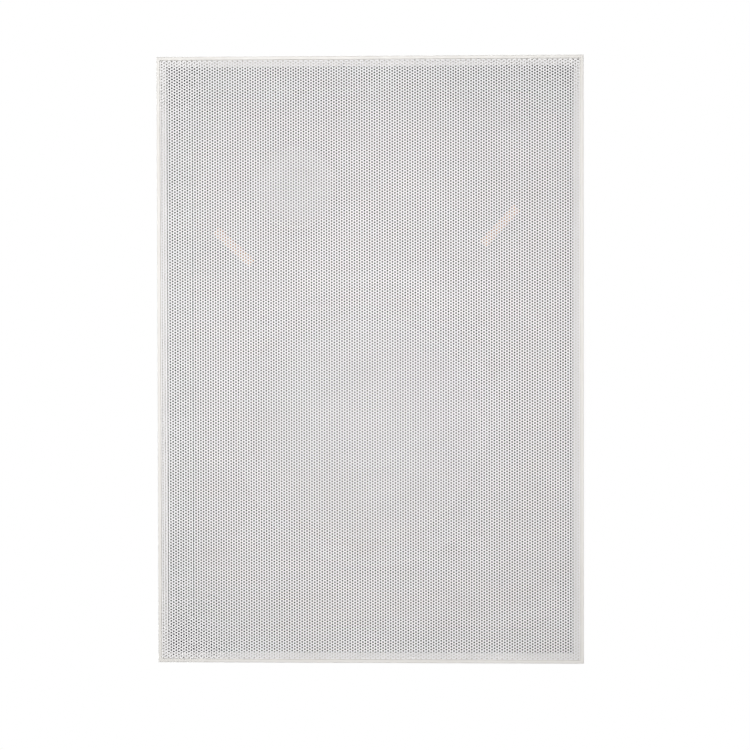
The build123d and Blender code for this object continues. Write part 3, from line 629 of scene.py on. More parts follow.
def turn(
    mesh: bmesh.types.BMesh, profile: Profile, centre: tuple[float, float], steps: int, closed: bool = True
) -> None:
    """Spins an outline about an axis along Y.

    Args:
        mesh: Where the shape is added.
        profile: Points of radius and depth, in millimetres.
        centre: The axis's x and z, in millimetres.
        steps: Steps round the axis.
        closed: False for an outline whose ends lie on the axis.
    """
    x, z = centre
    points = [mesh.verts.new(Vector((x + r, y, z)) * MM) for r, y in profile]
    pairs = list(zip(points, points[1:]))
    if closed:
        pairs.append((points[-1], points[0]))
    edges = [mesh.edges.new(pair) for pair in pairs]
    bmesh.ops.spin(
        mesh,
        geom=points + edges,
        cent=Vector((x, 0.0, z)) * MM,
        axis=(0.0, 1.0, 0.0),
        angle=math.tau,
        steps=steps,
        use_merge=True,
    )


def arc(radius: float, rise: float, base: float, count: int) -> list[tuple[float, float]]:
    """Points of a dome's arc that bulges to the front, from its middle to its edge.

    Args:
        radius: The dome's radius.
        rise: Its height.
        base: The depth of its edge.
        count: How many points.

    Returns:
        Points of radius and depth.
    """
    ball = (radius**2 + rise**2) / (2 * rise)
    half = math.asin(radius / ball)
    steps = [half * i / (count - 1) for i in range(count)]
    return [(ball * math.sin(a), base - rise + ball - ball * math.cos(a)) for a in steps]


def half_roll(inner: float, outer: float, rise: float, base: float, count: int) -> list[tuple[float, float]]:
    """Points of a half roll that bulges to the front, from its inner to its outer edge.

    Args:
        inner: The inner edge's radius.
        outer: The outer edge's radius.
        rise: The roll's height.
        base: The depth of its edges.
        count: How many points.

    Returns:
        Points of radius and depth.
    """
    middle = (inner + outer) / 2
    wide = (outer - inner) / 2
    steps = [math.pi * (1 - i / (count - 1)) for i in range(count)]
    return [(middle + wide * math.cos(a), base - rise * math.sin(a)) for a in steps]


def soften(mesh: bmesh.types.BMesh, geom: list, width: float, segments: int, affect: str = "EDGES") -> list:
    """Bevels edges or corners.

    Args:
        mesh: The shape.
        geom: Its edges or vertices to bevel.
        width: The bevel's width, in millimetres.
        segments: Faces across the bevel.
        affect: EDGES or VERTICES.

    Returns:
        The new faces.
    """
    made = bmesh.ops.bevel(
        mesh,
        geom=geom,
        offset=width * MM,
        affect=affect,
        segments=segments,
        profile=0.5,
        material=-1,
    )
    return made["faces"]


def add_block(mesh: bmesh.types.BMesh, low: Point, high: Point, edge: float, segments: int = 2) -> None:
    """Adds a box with rounded edges.

    Args:
        mesh: Where the box is added.
        low: Its lowest corner, in millimetres.
        high: Its highest corner, in millimetres.
        edge: The rounding's width, in millimetres.
        segments: Faces across the rounding.
    """
    size = Vector(high) - Vector(low)
    middle = (Vector(high) + Vector(low)) / 2
    place = Matrix.Translation(middle * MM) @ Matrix.Diagonal((*(size * MM), 1.0))
    verts = bmesh.ops.create_cube(mesh, size=1.0, matrix=place)["verts"]
    edges = dict.fromkeys(e for v in verts for e in v.link_edges)
    soften(mesh, list(edges), edge, segments)


# Front


@dataclass(frozen=True)
class Grille:
    """Perforated steel sheet that the rim holds, with its pads."""

    width: float
    height: float
    front: float
    back: float
    pitch: float = 1.51
    hole_share: float = 0.335
    edge: float = 0.5
    strips: int = 6
    pad_size: tuple[float, float] = (25.5, 4.8)
    pad_edge: float = 0.6
    pads: tuple[tuple[str, float, float, float], ...] = (
        ("left", -70.3, 58.5, -42.7),
        ("right", 67.2, 69.0, 47.2),
    )

    @classmethod
    def of_frame(cls) -> "Grille":
        """Takes the sheet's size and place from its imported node."""
        low, high = (Vector(corner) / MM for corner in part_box("grille"))
        return cls(high.x - low.x, high.z - low.z, low.y, high.y)

    @property
    def column(self) -> float:
        """Distance between two upright columns of holes."""
        return self.pitch * math.sqrt(3) / 2

    @property
    def hole_radius(self) -> float:
        """Corner radius of a six-sided hole with the sheet's open share."""
        return math.sqrt(self.hole_share * self.pitch * self.column * 2 / (3 * math.sqrt(3)))

    @property
    def columns(self) -> int:
        """How many columns of holes the sheet has, with one in its middle."""
        return 2 * int((self.width / 2 - self.edge) / self.column) + 1

    def build(self) -> None:
        """Makes the sheet, as strips that meet along columns of holes, and the pads."""
        sheet = bmesh.new()
        self.lattice(sheet)
        self.punch(sheet)
        self.trim(sheet)
        steps = [round(self.columns * (i / self.strips - 0.5)) for i in range(1, self.strips)]
        seams = [-self.width / 2, *(step * self.column for step in steps), self.width / 2]
        for number, (left, right) in enumerate(zip(seams, seams[1:]), 1):
            self.strip(sheet.copy(), number, left, right)
        sheet.free()
        for pad in self.pads:
            self.pad(*pad)

    def strip(self, mesh: bmesh.types.BMesh, number: int, left: float, right: float) -> None:
        """Makes one strip of the sheet.

        Args:
            mesh: A copy of the flat sheet.
            number: The strip's number from the left.
            left: Its left edge, in millimetres.
            right: Its right edge, in millimetres.
        """
        other = [f for f in mesh.faces if not left < f.calc_center_median().x / MM < right]
        bmesh.ops.delete(mesh, geom=other, context="FACES")
        self.thicken(mesh)
        piece = Piece(f"grille_sheet_{number}", "grille", "grille_white", ("grille",))
        made = piece.build(mesh)
        self.unwrap(made.data, left, right)

    def lattice(self, mesh: bmesh.types.BMesh) -> None:
        """Adds a sheet of triangles with a vertex at each hole's place, and spare ones round it.

        Args:
            mesh: Where the sheet is added.
        """
        count = self.columns + 1
        rows = int(self.height / 2 / self.pitch) + 3
        place = (
            Matrix.Translation((0.0, self.front * MM, 0.0))
            @ Matrix.Rotation(math.pi / 2, 4, "X")
            @ Matrix.Diagonal((count * self.column / 2 * MM, rows * self.pitch * MM, 1.0, 1.0))
        )
        bmesh.ops.create_grid(mesh, x_segments=count, y_segments=2 * rows, size=1.0, matrix=place)
        odd = [v for v in mesh.verts if round(v.co.x / MM / self.column) % 2]
        bmesh.ops.translate(mesh, verts=odd, vec=(0.0, 0.0, self.pitch / 2 * MM))
        bmesh.ops.triangulate(mesh, faces=mesh.faces, quad_method="SHORT_EDGE")

    def punch(self, mesh: bmesh.types.BMesh) -> None:
        """Opens a six-sided hole at each vertex that lies inside the sheet's edge.

        Args:
            mesh: The flat sheet.
        """
        wide = (self.width / 2 - self.edge) * MM + WELD
        high = (self.height / 2 - self.edge) * MM + WELD
        holes = [v for v in mesh.verts if abs(v.co.x) < wide and abs(v.co.z) < high]
        faces = soften(mesh, holes, self.hole_radius, 1, "VERTICES")
        bmesh.ops.delete(mesh, geom=faces, context="FACES_ONLY")

    def trim(self, mesh: bmesh.types.BMesh) -> None:
        """Cuts the sheet to its outline.

        Args:
            mesh: The flat sheet.
        """
        for outwards in ((-1, 0, 0), (1, 0, 0), (0, 0, -1), (0, 0, 1)):
            half = (self.width if outwards[0] else self.height) / 2
            bmesh.ops.bisect_plane(
                mesh,
                geom=mesh.verts[:] + mesh.edges[:] + mesh.faces[:],
                plane_co=Vector(outwards) * half * MM,
                plane_no=outwards,
                clear_outer=True,
            )

    def thicken(self, mesh: bmesh.types.BMesh) -> None:
        """Gives the sheet its thickness and the holes their walls.

        Args:
            mesh: The flat strip.
        """
        made = bmesh.ops.extrude_face_region(mesh, geom=mesh.faces[:])["geom"]
        verts = [g for g in made if isinstance(g, bmesh.types.BMVert)]
        bmesh.ops.translate(mesh, verts=verts, vec=(0.0, (self.back - self.front) * MM, 0.0))
        bmesh.ops.recalc_face_normals(mesh, faces=mesh.faces)

    def unwrap(self, data: bpy.types.Mesh, left: float, right: float) -> None:
        """Lays front, back and hole walls out side by side, with the walls inside their holes.

        Args:
            data: The strip's mesh.
            left: Its left edge, in millimetres.
            right: Its right edge, in millimetres.
        """
        corners = len(data.loops)
        place = np.empty(len(data.vertices) * 3)
        data.vertices.foreach_get("co", place)
        index = np.empty(corners, dtype=np.int32)
        data.loops.foreach_get("vertex_index", index)
        sizes = np.empty(len(data.polygons), dtype=np.int32)
        data.polygons.foreach_get("loop_total", sizes)
        facing = np.empty(len(data.polygons) * 3)
        data.polygons.foreach_get("normal", facing)
        spot = place.reshape(-1, 3)[index] / MM
        normal = np.repeat(facing.reshape(-1, 3), sizes, axis=0)
        deep = spot[:, 1] > (self.front + self.back) / 2
        wall = np.abs(normal[:, 1]) < 0.5
        wall_width = 0.4 * self.hole_radius
        flat = spot[:, (0, 2)] + (wall_width * (wall & deep))[:, None] * normal[:, (0, 2)]
        margin = 0.02
        span = np.array([right - left, self.height])
        flat = (flat - np.array([left, -self.height / 2])) / span
        flat = margin + flat * (1 - 2 * margin)
        flat[:, 0] = flat[:, 0] / 2 + 0.5 * (normal[:, 1] > 0.5)
        layer = data.uv_layers.new(name="OFBake")
        layer.data.foreach_set("uv", flat.astype(np.float32).ravel())

    def pad(self, side: str, x: float, z: float, turn_deg: float) -> None:
        """Makes one slanted pad between the baffle and the sheet.

        Args:
            side: Left or right.
            x: Its middle's x, in millimetres.
            z: Its middle's z, in millimetres.
            turn_deg: How far it is turned, in degrees.
        """
        mesh = bmesh.new()
        half_length, half_width = (s / 2 for s in self.pad_size)
        front, back = (corner[1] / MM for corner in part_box(f"grille_pad_{side}"))
        low, high = (-half_length, front, -half_width), (half_length, back, half_width)
        add_block(mesh, low, high, self.pad_edge, segments=3)
        turned = Matrix.Rotation(math.radians(-turn_deg), 4, "Y")
        place = Matrix.Translation(Vector((x, 0.0, z)) * MM)
        bmesh.ops.transform(mesh, verts=mesh.verts, matrix=place @ turned)
        Piece(f"foam_pad_{side}", "speaker", "pad_orange", (f"grille_pad_{side}",)).build(close_up(mesh))


# Screws


@dataclass(frozen=True)
class Screw:
    """Pan-head screw with a cross recess and, where asked, a thread."""

    head_r: float
    head_h: float
    shank_r: float
    length: float
    thread_pitch: float = 0.0
    thread_h: float = 0.35
    thread_from: float = 4.0
    tip: tuple[float, float] = (0.5, 0.6)
    sides: int = 16

    def add(self, mesh: bmesh.types.BMesh, place: tuple[float, float], seat: float, flip: int = 1) -> None:
        """Adds the screw along Y.

        Args:
            mesh: Where it is added.
            place: Its axis's x and z, in millimetres.
            seat: The depth that its head sits on, in millimetres.
            flip: 1 for a head at the front, -1 for a head at the back.
        """
        own = bmesh.new()
        core = self.shank_r - (self.thread_h if self.thread_pitch else 0.0)
        top = -self.head_h
        slot_r = 0.62 * self.head_r
        tip_r, tip_h = self.tip
        profile = [
            (slot_r, top), (0.8 * self.head_r, 0.93 * top), (0.95 * self.head_r, 0.68 * top),
            (self.head_r, 0.35 * top), (self.head_r, 0.0), (core, 0.0), (core, self.length - tip_h),
            (core - tip_r, self.length), (0.0, self.length),
        ]
        turn(own, profile, (0.0, 0.0), self.sides, closed=False)
        close_up(own)
        self.recess(own, slot_r, top)
        if self.thread_pitch:
            self.thread(own, core)
        close_up(own)
        x, z = place
        turned = Matrix.Diagonal((1.0, flip, 1.0, 1.0))
        moved = Matrix.Translation(Vector((x, seat, z)) * MM)
        bmesh.ops.transform(own, verts=own.verts, matrix=moved @ turned)
        if flip < 0:
            bmesh.ops.reverse_faces(own, faces=own.faces)
        spare = bpy.data.meshes.new("screw")
        own.to_mesh(spare)
        own.free()
        mesh.from_mesh(spare)
        bpy.data.meshes.remove(spare)

    def recess(self, own: bmesh.types.BMesh, slot_r: float, top: float) -> None:
        """Sinks a cross into the open top of the head.

        Args:
            own: The screw's mesh.
            slot_r: Radius of the head's open top, in millimetres.
            top: Depth of that opening, in millimetres.
        """
        rim = [e for e in own.edges if e.is_boundary and all(abs(v.co.y - top * MM) < WELD for v in e.verts)]
        arm, half = 0.85 * slot_r, 0.2 * slot_r
        quarter = [(arm, -half), (arm, half), (half, half)]
        cross = []
        for turn_by in range(4):
            around = Matrix.Rotation(-turn_by * math.pi / 2, 4, "Y")
            cross += [own.verts.new(around @ (Vector((x, top, z)) * MM)) for x, z in quarter]
        edges = [own.edges.new((a, b)) for a, b in zip(cross, cross[1:] + cross[:1])]
        bmesh.ops.bridge_loops(own, edges=rim + edges)
        made = bmesh.ops.extrude_edge_only(own, edges=edges)["geom"]
        low = [g for g in made if isinstance(g, bmesh.types.BMVert)]
        bmesh.ops.translate(own, verts=low, vec=(0.0, 0.6 * self.head_h * MM, 0.0))
        bmesh.ops.scale(own, verts=low, vec=(0.7, 1.0, 0.7))
        bmesh.ops.contextual_create(own, geom=low)

    def thread(self, own: bmesh.types.BMesh, core: float) -> None:
        """Winds a ridge round the shank.

        Args:
            own: The screw's mesh.
            core: The shank's radius under the ridge, in millimetres.
        """
        per_turn = 8
        plain_end = 1.5
        turns = (self.length - self.thread_from - plain_end) / self.thread_pitch
        half = 0.4 * self.thread_pitch
        sink = 0.2
        outline = [(core - sink, -half), (self.shank_r, 0.0), (core - sink, half)]
        points = [own.verts.new(Vector((r, self.thread_from + y, 0.0)) * MM) for r, y in outline]
        face = own.faces.new(points)
        bmesh.ops.spin(
            own,
            geom=points + list(face.edges) + [face],
            cent=(0.0, 0.0, 0.0),
            axis=(0.0, 1.0, 0.0),
            dvec=(0.0, self.thread_pitch / per_turn * MM, 0.0),
            angle=math.tau * turns,
            steps=int(turns * per_turn),
        )


# Drivers


@dataclass(frozen=True)
class Woofer:
    """The woofer's soft parts and screws."""

    centre: tuple[float, float] = (0.0, -36.3)
    cone_r: float = 60.0
    cone_lip: float = 57.0
    roll_r: float = 71.0
    lip_r: float = 75.5
    rim_y: float = 6.8
    skin: float = 0.6
    roll_rise: float = 5.0
    cap_r: float = 21.0
    cap_rise: float = 7.0
    cap_y: float = 25.21
    cap_t: float = 0.8
    former_r: float = 13.1
    seat_r: float = 40.2
    shelf_r: float = 47.0
    shelf_y: float = 40.0
    cloth: float = 0.7
    pleats: int = 5
    pleat_depth: float = 1.6
    screw_r: float = 79.25
    screw: Screw = Screw(head_r=3.2, head_h=2.2, shank_r=1.7, length=8.0)
    roll_points: tuple[int, int] = (13, 7)
    pleat_points: int = 6
    cap_points: int = 10
    roll_steps: int = 64
    cloth_steps: int = 48
    cap_steps: int = 40

    def build(self) -> None:
        """Makes the surround, the spider, the dust cap and the screws."""
        self.surround()
        self.spider()
        self.dust_cap()
        self.screws()

    def at(self) -> Point:
        """Middle of the woofer, in metres."""
        return (self.centre[0] * MM, 0.0, self.centre[1] * MM)

    def surround(self) -> None:
        """Makes the half roll that stretches between the basket and the cone."""
        front = self.rim_y - self.skin
        many, few = self.roll_points
        outside = half_roll(self.cone_r, self.roll_r, self.roll_rise, front, many)
        inside = half_roll(self.cone_r + self.skin, self.roll_r - self.skin, self.roll_rise, self.rim_y, few)
        profile = [
            (self.cone_lip, front), *outside, (self.lip_r, front), (self.lip_r, self.rim_y),
            *reversed(inside), (self.cone_lip, self.rim_y),
        ]
        mesh = bmesh.new()
        turn(mesh, profile, self.centre, self.roll_steps)
        piece = Piece("surround_roll", "speaker", "surround_rubber", ("woofer_surround",), centre=self.at())
        self.stretch(piece.build(close_up(mesh), ride=False), self.cone_r, self.roll_r)

    def spider(self) -> None:
        """Makes the pleated cloth disc that stretches between the former and the basket."""
        count = self.pleat_points * self.pleats
        profile = []
        for i in range(count + 1):
            part = i / count
            wave = self.pleat_depth / 2 * (1 - math.cos(math.tau * self.pleats * part))
            profile.append((self.former_r + (self.seat_r - self.former_r) * part, self.shelf_y - wave))
        profile.append((self.shelf_r, self.shelf_y))
        profile += [(r, y - self.cloth) for r, y in reversed(profile)]
        mesh = bmesh.new()
        turn(mesh, profile, self.centre, self.cloth_steps)
        piece = Piece("spider_pleats", "speaker", "spider_cloth", ("woofer_spider",), centre=self.at())
        self.stretch(piece.build(close_up(mesh), ride=False), self.former_r, self.seat_r)

    def stretch(self, made: bpy.types.Object, inner: float, outer: float) -> None:
        """Bakes a round piece's place into its mesh, and works out for each vertex how far it lies between
        the two radii; nothing uses the result.

        Args:
            made: The piece.
            inner: The radius on the cone's side, in millimetres.
            outer: The radius on the basket's side, in millimetres.
        """
        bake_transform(made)
        middle = Vector(self.at())
        for vertex in made.data.vertices:
            away = vertex.co - middle
            part = (outer * MM - math.hypot(away.x, away.z)) / ((outer - inner) * MM)
            part = min(max(part, 0.0), 1.0)

    def dust_cap(self) -> None:
        """Makes the domed cap over the cone's neck."""
        outside = arc(self.cap_r, self.cap_rise, self.cap_y, self.cap_points)
        inside = [(r * (1 - self.cap_t / self.cap_r), y + self.cap_t) for r, y in reversed(outside)]
        inside[0] = (self.cap_r - self.cap_t, self.cap_y)
        mesh = bmesh.new()
        turn(mesh, outside + inside, self.centre, self.cap_steps, closed=False)
        piece = Piece("dust_cap", "cone", "cone_gray", ("woofer_dust_cap",), centre=self.at())
        piece.build(close_up(mesh))

    def screws(self) -> None:
        """Makes the four screws through the basket's rim."""
        mesh = bmesh.new()
        for quarter in range(4):
            angle = math.radians(45 + 90 * quarter)
            x = self.centre[0] + self.screw_r * math.cos(angle)
            z = self.centre[1] + self.screw_r * math.sin(angle)
            self.screw.add(mesh, (x, z), self.rim_y)
        Piece("rim_screws", "speaker", "screw_black", ("woofer_screws",)).build(close_up(mesh))


@dataclass(frozen=True)
class Tweeter:
    """The tweeter's dome and its small surround."""

    centre: tuple[float, float] = (-39.5, 90.5)
    dome_r: float = 10.0
    dome_rise: float = 3.6
    dome_y: float = 10.2
    skin: float = 0.5
    roll_r: float = 11.1
    roll_rise: float = 0.45
    flange_r: float = 15.0
    dome_points: tuple[int, int] = (11, 6)
    roll_points: int = 5
    steps: int = 40

    def build(self) -> None:
        """Makes the dome with its roll and flange."""
        many, few = self.dome_points
        front = arc(self.dome_r, self.dome_rise, self.dome_y, many)
        front += half_roll(self.dome_r, self.roll_r, self.roll_rise, self.dome_y, self.roll_points)[1:]
        front += [(self.flange_r, self.dome_y), (self.flange_r, self.dome_y + self.skin)]
        inside = arc(self.dome_r - self.skin, self.dome_rise - self.skin / 2, self.dome_y + self.skin, few)
        mesh = bmesh.new()
        turn(mesh, front + list(reversed(inside)), self.centre, self.steps, closed=False)
        middle = (self.centre[0] * MM, 0.0, self.centre[1] * MM)
        Piece("silk_dome", "speaker", "dome_silk", ("tweeter_dome",), centre=middle).build(close_up(mesh))


# Crossover


@dataclass(frozen=True)
class Crossover:
    """Coils, capacitors, resistor, tags and leads on and round the board."""

    board: tuple[float, float] = (34.0, 89.0)
    board_size: tuple[float, float] = (76.0, 60.0)
    board_edge: float = 4.0
    face_y: float = 18.6
    wire: float = 1.0
    choke_at: tuple[float, float] = (20.0, -11.0)
    choke_post_r: float = 5.0
    choke_r: float = 13.0
    choke_span: tuple[float, float] = (20.6, 34.6)
    air_coil_at: tuple[float, float] = (-23.0, 16.5)
    air_coil_r: tuple[float, float] = (5.0, 10.0)
    air_coil_h: float = 10.0
    cans: tuple[tuple[str, float, float, float, float], ...] = (
        ("woofer_capacitor", -14.0, -14.0, 7.0, 28.0),
        ("tweeter_capacitor", -18.0, 0.0, 5.5, 22.0),
    )
    resistor: tuple[float, float, float, float] = (5.0, 6.5, 18.0, 8.0)
    resistor_edge: float = 0.5
    tag_board_edge: float = 0.25
    tag_edge: float = 0.2
    leg_r: float = 0.45
    leg_out: float = 1.5
    lead_r: float = 0.7
    solder_size: Point = (1.5, 1.1, 1.5)
    screw: Screw = Screw(head_r=3.2, head_h=2.2, shank_r=1.7, length=6.0)
    coil_steps: int = 32
    can_sides: int = 36
    can_edge: float = 0.5
    can_sink: float = 0.4

    def build(self) -> None:
        """Makes every part of the crossover that isn't a plain node."""
        self.windings()
        self.capacitors()
        self.cement_resistor()
        self.legs()
        self.tags()
        self.screws()
        self.leads()

    def on_board(self, place: tuple[float, float]) -> tuple[float, float]:
        """Gives a place on the board in the wall's plane."""
        return self.board[0] + place[0], self.board[1] + place[1]

    def turns(self, radius: float, start: float, end: float, outwards: int) -> list[tuple[float, float]]:
        """Points of wires side by side along a coil's wall.

        Args:
            radius: The wall's radius.
            start: Depth of its first wire's edge.
            end: Depth of its last wire's edge.
            outwards: 1 for an outer wall, -1 for the bore.

        Returns:
            Points of radius and depth, from start to end.
        """
        count = round(abs(end - start) / self.wire)
        step = (end - start) / count
        points = []
        for i in range(count):
            middle = start + step * (i + 0.5)
            for angle in (-80, 0, 80):
                off = math.radians(angle)
                bulge = outwards * self.wire / 2 * (math.cos(off) - 1)
                points.append((radius + bulge, middle + step / 2 * math.sin(off)))
        return points

    def windings(self) -> None:
        """Makes the wire on the drum and the air-cored coil."""
        front, back = self.choke_span
        outside = self.turns(self.choke_r, front, back, 1)
        profile = [(self.choke_post_r, front), *outside, (self.choke_post_r, back)]
        self.winding("choke_winding", "woofer_inductor_winding", self.on_board(self.choke_at), profile)
        bore, outer = self.air_coil_r
        back = self.face_y + self.air_coil_h
        profile = self.turns(outer, self.face_y, back, 1) + self.turns(bore, back, self.face_y, -1)
        self.winding("air_coil", "tweeter_inductor", self.on_board(self.air_coil_at), profile)

    def winding(self, name: str, node: str, place: tuple[float, float], profile: Profile) -> None:
        """Makes one coil of wire from its outline.

        Args:
            name: The piece's name.
            node: The node that it stands for.
            place: Its axis's x and z, in millimetres.
            profile: Points of radius and depth, in millimetres.
        """
        mesh = bmesh.new()
        turn(mesh, profile, place, self.coil_steps)
        middle = (place[0] * MM, 0.0, place[1] * MM)
        Piece(name, "speaker", "copper_wire", (node,), COPPER_PLAIN, middle, 60.0).build(close_up(mesh))

    def capacitors(self) -> None:
        """Makes the two wrapped cans that lie on the board, with sunk ends."""
        for node, along, up, radius, length in self.cans:
            x, z = self.on_board((along, up))
            mesh = bmesh.new()
            middle = Vector((x, self.face_y + radius, z)) * MM
            place = Matrix.Translation(middle) @ Matrix.Rotation(math.pi / 2, 4, "Y")
            bmesh.ops.create_cone(
                mesh,
                cap_ends=True,
                segments=self.can_sides,
                radius1=radius * MM,
                radius2=radius * MM,
                depth=length * MM,
                matrix=place,
            )
            ends = [f for f in mesh.faces if len(f.verts) > 4]
            rims = dict.fromkeys(e for f in ends for e in f.edges)
            soften(mesh, list(rims), self.can_edge, 3)
            ends = [f for f in mesh.faces if len(f.verts) > 8]
            thick, deep = self.can_edge * MM, self.can_sink * MM
            bmesh.ops.inset_individual(mesh, faces=ends, thickness=thick, depth=-deep)
            axis = (x * MM, 0.0, z * MM)
            Piece(f"{node}_can", "speaker", "capacitor_film", (node,), centre=axis).build(close_up(mesh))

    def cement_resistor(self) -> None:
        """Makes the square-sided resistor with softened edges."""
        x, z = self.on_board(self.resistor[:2])
        length, width = self.resistor[2:]
        mesh = bmesh.new()
        low = (x - length / 2, self.face_y, z - width / 2)
        high = (x + length / 2, self.face_y + width, z + width / 2)
        add_block(mesh, low, high, self.resistor_edge)
        Piece("resistor_body", "speaker", "resistor_cement", ("tweeter_resistor",)).build(close_up(mesh))

    def legs(self) -> None:
        """Makes the bent wire legs of the lying parts."""
        parts = [(x, z, radius, length / 2) for _, x, z, radius, length in self.cans]
        x, z, length, width = self.resistor
        parts.append((x, z, width / 2, length / 2))
        routes = []
        for along, up, height, reach in parts:
            x, z = self.on_board((along, up))
            level = self.face_y + height
            for side in (-1, 1):
                end = x + side * (reach + self.leg_out)
                start = x + side * (reach - 0.5)
                bend = [(end, level, z), (end, level - 1.0, z)]
                routes.append([(start, level, z), *bend, (end, self.face_y - 0.2, z)])
        made = wire_curve("part_legs", routes, self.leg_r)
        Piece("part_legs", "speaker", "screw_zinc", finish=TINNED).dress(made)
        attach(made, "speaker")

    def tags(self) -> None:
        """Makes the two tag boards and their tags."""
        boards = {
            "woofer": ((-9.0, 41.2, 7.3), (9.0, 42.8, 25.3)),
            "tweeter": ((-51.5, 20.3, 81.5), (-27.5, 21.9, 99.5)),
        }
        tags = {
            "woofer": [((x - 2.4, 42.8, 19.3), (x + 2.4, 43.6, 31.3)) for x in (-5.0, 5.0)],
            "tweeter": [((-33.5, 21.9, z - 2.4), (-21.5, 22.7, z + 2.4)) for z in (85.5, 95.5)],
        }
        for driver, corners in boards.items():
            node = f"{driver}_terminals"
            mesh = bmesh.new()
            add_block(mesh, *corners, self.tag_board_edge)
            Piece(f"{driver}_tag_board", "speaker", "tag_board", (node,)).build(close_up(mesh))
            mesh = bmesh.new()
            for low, high in tags[driver]:
                add_block(mesh, low, high, self.tag_edge)
            Piece(f"{driver}_tags", "speaker", "tag_board", (node,), TINNED).build(close_up(mesh))

    def screws(self) -> None:
        """Makes the four screws that hold the board."""
        mesh = bmesh.new()
        wide, high = (s / 2 - self.board_edge for s in self.board_size)
        for i in (-1, 1):
            for j in (-1, 1):
                place = self.on_board((i * wide, j * high))
                self.screw.add(mesh, place, self.face_y, flip=-1)
        Piece("board_fixings", "speaker", "screw_zinc", ("board_screws",)).build(close_up(mesh))

    def leads(self) -> None:
        """Makes the two pairs of leads and the solder at their ends."""
        routes = {}
        for side, color in ((-1, "red"), (1, "black")):
            x, z = 5.0 * side, 90.5 + 5.0 * side
            routes["woofer", color] = [
                (x, 43.2, 31.3), (x, 43.2, 45.3), (29.0 + x, 36.6, 62.0), (29.0 + x, 18.6, 62.0)
            ]
            routes["tweeter", color] = [
                (-21.5, 22.3, z), (-14.0, 22.3, z), (-10.5, 34.3, z), (0.0, 34.8, z), (0.0, 18.6, z)
            ]
        solder = bmesh.new()
        blob = Matrix.Diagonal((*(Vector(self.solder_size) * MM), 1.0))
        for (driver, color), route in routes.items():
            name = f"{driver}_lead_{color}"
            made = wire_curve(name, [route], self.lead_r)
            finish = None if color == "red" else SLEEVE_BLACK
            Piece(name, "speaker", "lead_sleeve", (f"{driver}_leads",), finish).dress(made)
            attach(made, "speaker")
            for end in (route[0], route[-1]):
                place = Matrix.Translation(Vector(end) * MM) @ blob
                bmesh.ops.create_uvsphere(solder, u_segments=10, v_segments=6, radius=1.0, matrix=place)
        Piece("solder_joints", "speaker", "screw_zinc", finish=SOLDER).build(close_up(solder))


def wire_curve(name: str, routes: Iterable[Sequence[Point]], radius: float) -> bpy.types.Object:
    """Makes round wires along smooth routes.

    Args:
        name: The object's name.
        routes: Control points of each wire, in millimetres.
        radius: The wires' radius, in millimetres.

    Returns:
        A curve object with a round section.
    """
    curve = bpy.data.curves.new(name, "CURVE")
    curve.dimensions = "3D"
    curve.bevel_depth = radius * MM
    curve.bevel_resolution = 2
    curve.use_fill_caps = True
    for route in routes:
        spline = curve.splines.new("NURBS")
        spline.points.add(len(route) - 1)
        for point, place in zip(spline.points, route):
            point.co = (*(Vector(place) * MM), 1.0)
        spline.order_u = 3
        spline.use_endpoint_u = True
        spline.resolution_u = 6
    made = bpy.data.objects.new(name, curve)
    bpy.context.scene.collection.objects.link(made)
    LOG.info("%s: %d wires", name, len(curve.splines))
    return made


# Clamps


@dataclass(frozen=True)
class Clamps:
    """Long threaded screws of the four clamps."""

    screw_at: tuple[float, float] = (83.3, 126.8)
    seat: float = 8.0
    screw: Screw = Screw(head_r=4.2, head_h=2.6, shank_r=2.0, length=54.0, thread_pitch=1.8)

    def build(self) -> None:
        """Makes the four screws as one piece."""
        mesh = bmesh.new()
        for i in (-1, 1):
            for j in (-1, 1):
                self.screw.add(mesh, (i * self.screw_at[0], j * self.screw_at[1]), self.seat)
        Piece("clamp_rods", "speaker", "screw_black", ("clamp_screws",)).build(close_up(mesh))


class CarriedNodes:
    """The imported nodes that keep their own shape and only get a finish."""

    def build(self) -> None:
        """Gives each shown node its slot's finish, centred on the node."""
        for row in frame["record"]["subparts"]:
            node, slot = row["node"], row["material_slot"]
            shown = frame["nodes"][node]
            if shown.hide_render:
                continue
            low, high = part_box(node)
            centre = tuple((a + b) / 2 for a, b in zip(low, high))
            material = FINISHES[slot].material(f"{node}_finish", centre)
            for place in shown.material_slots:
                place.material = material
            LOG.info("%s keeps its shape, in %s", node, slot)


# Studio


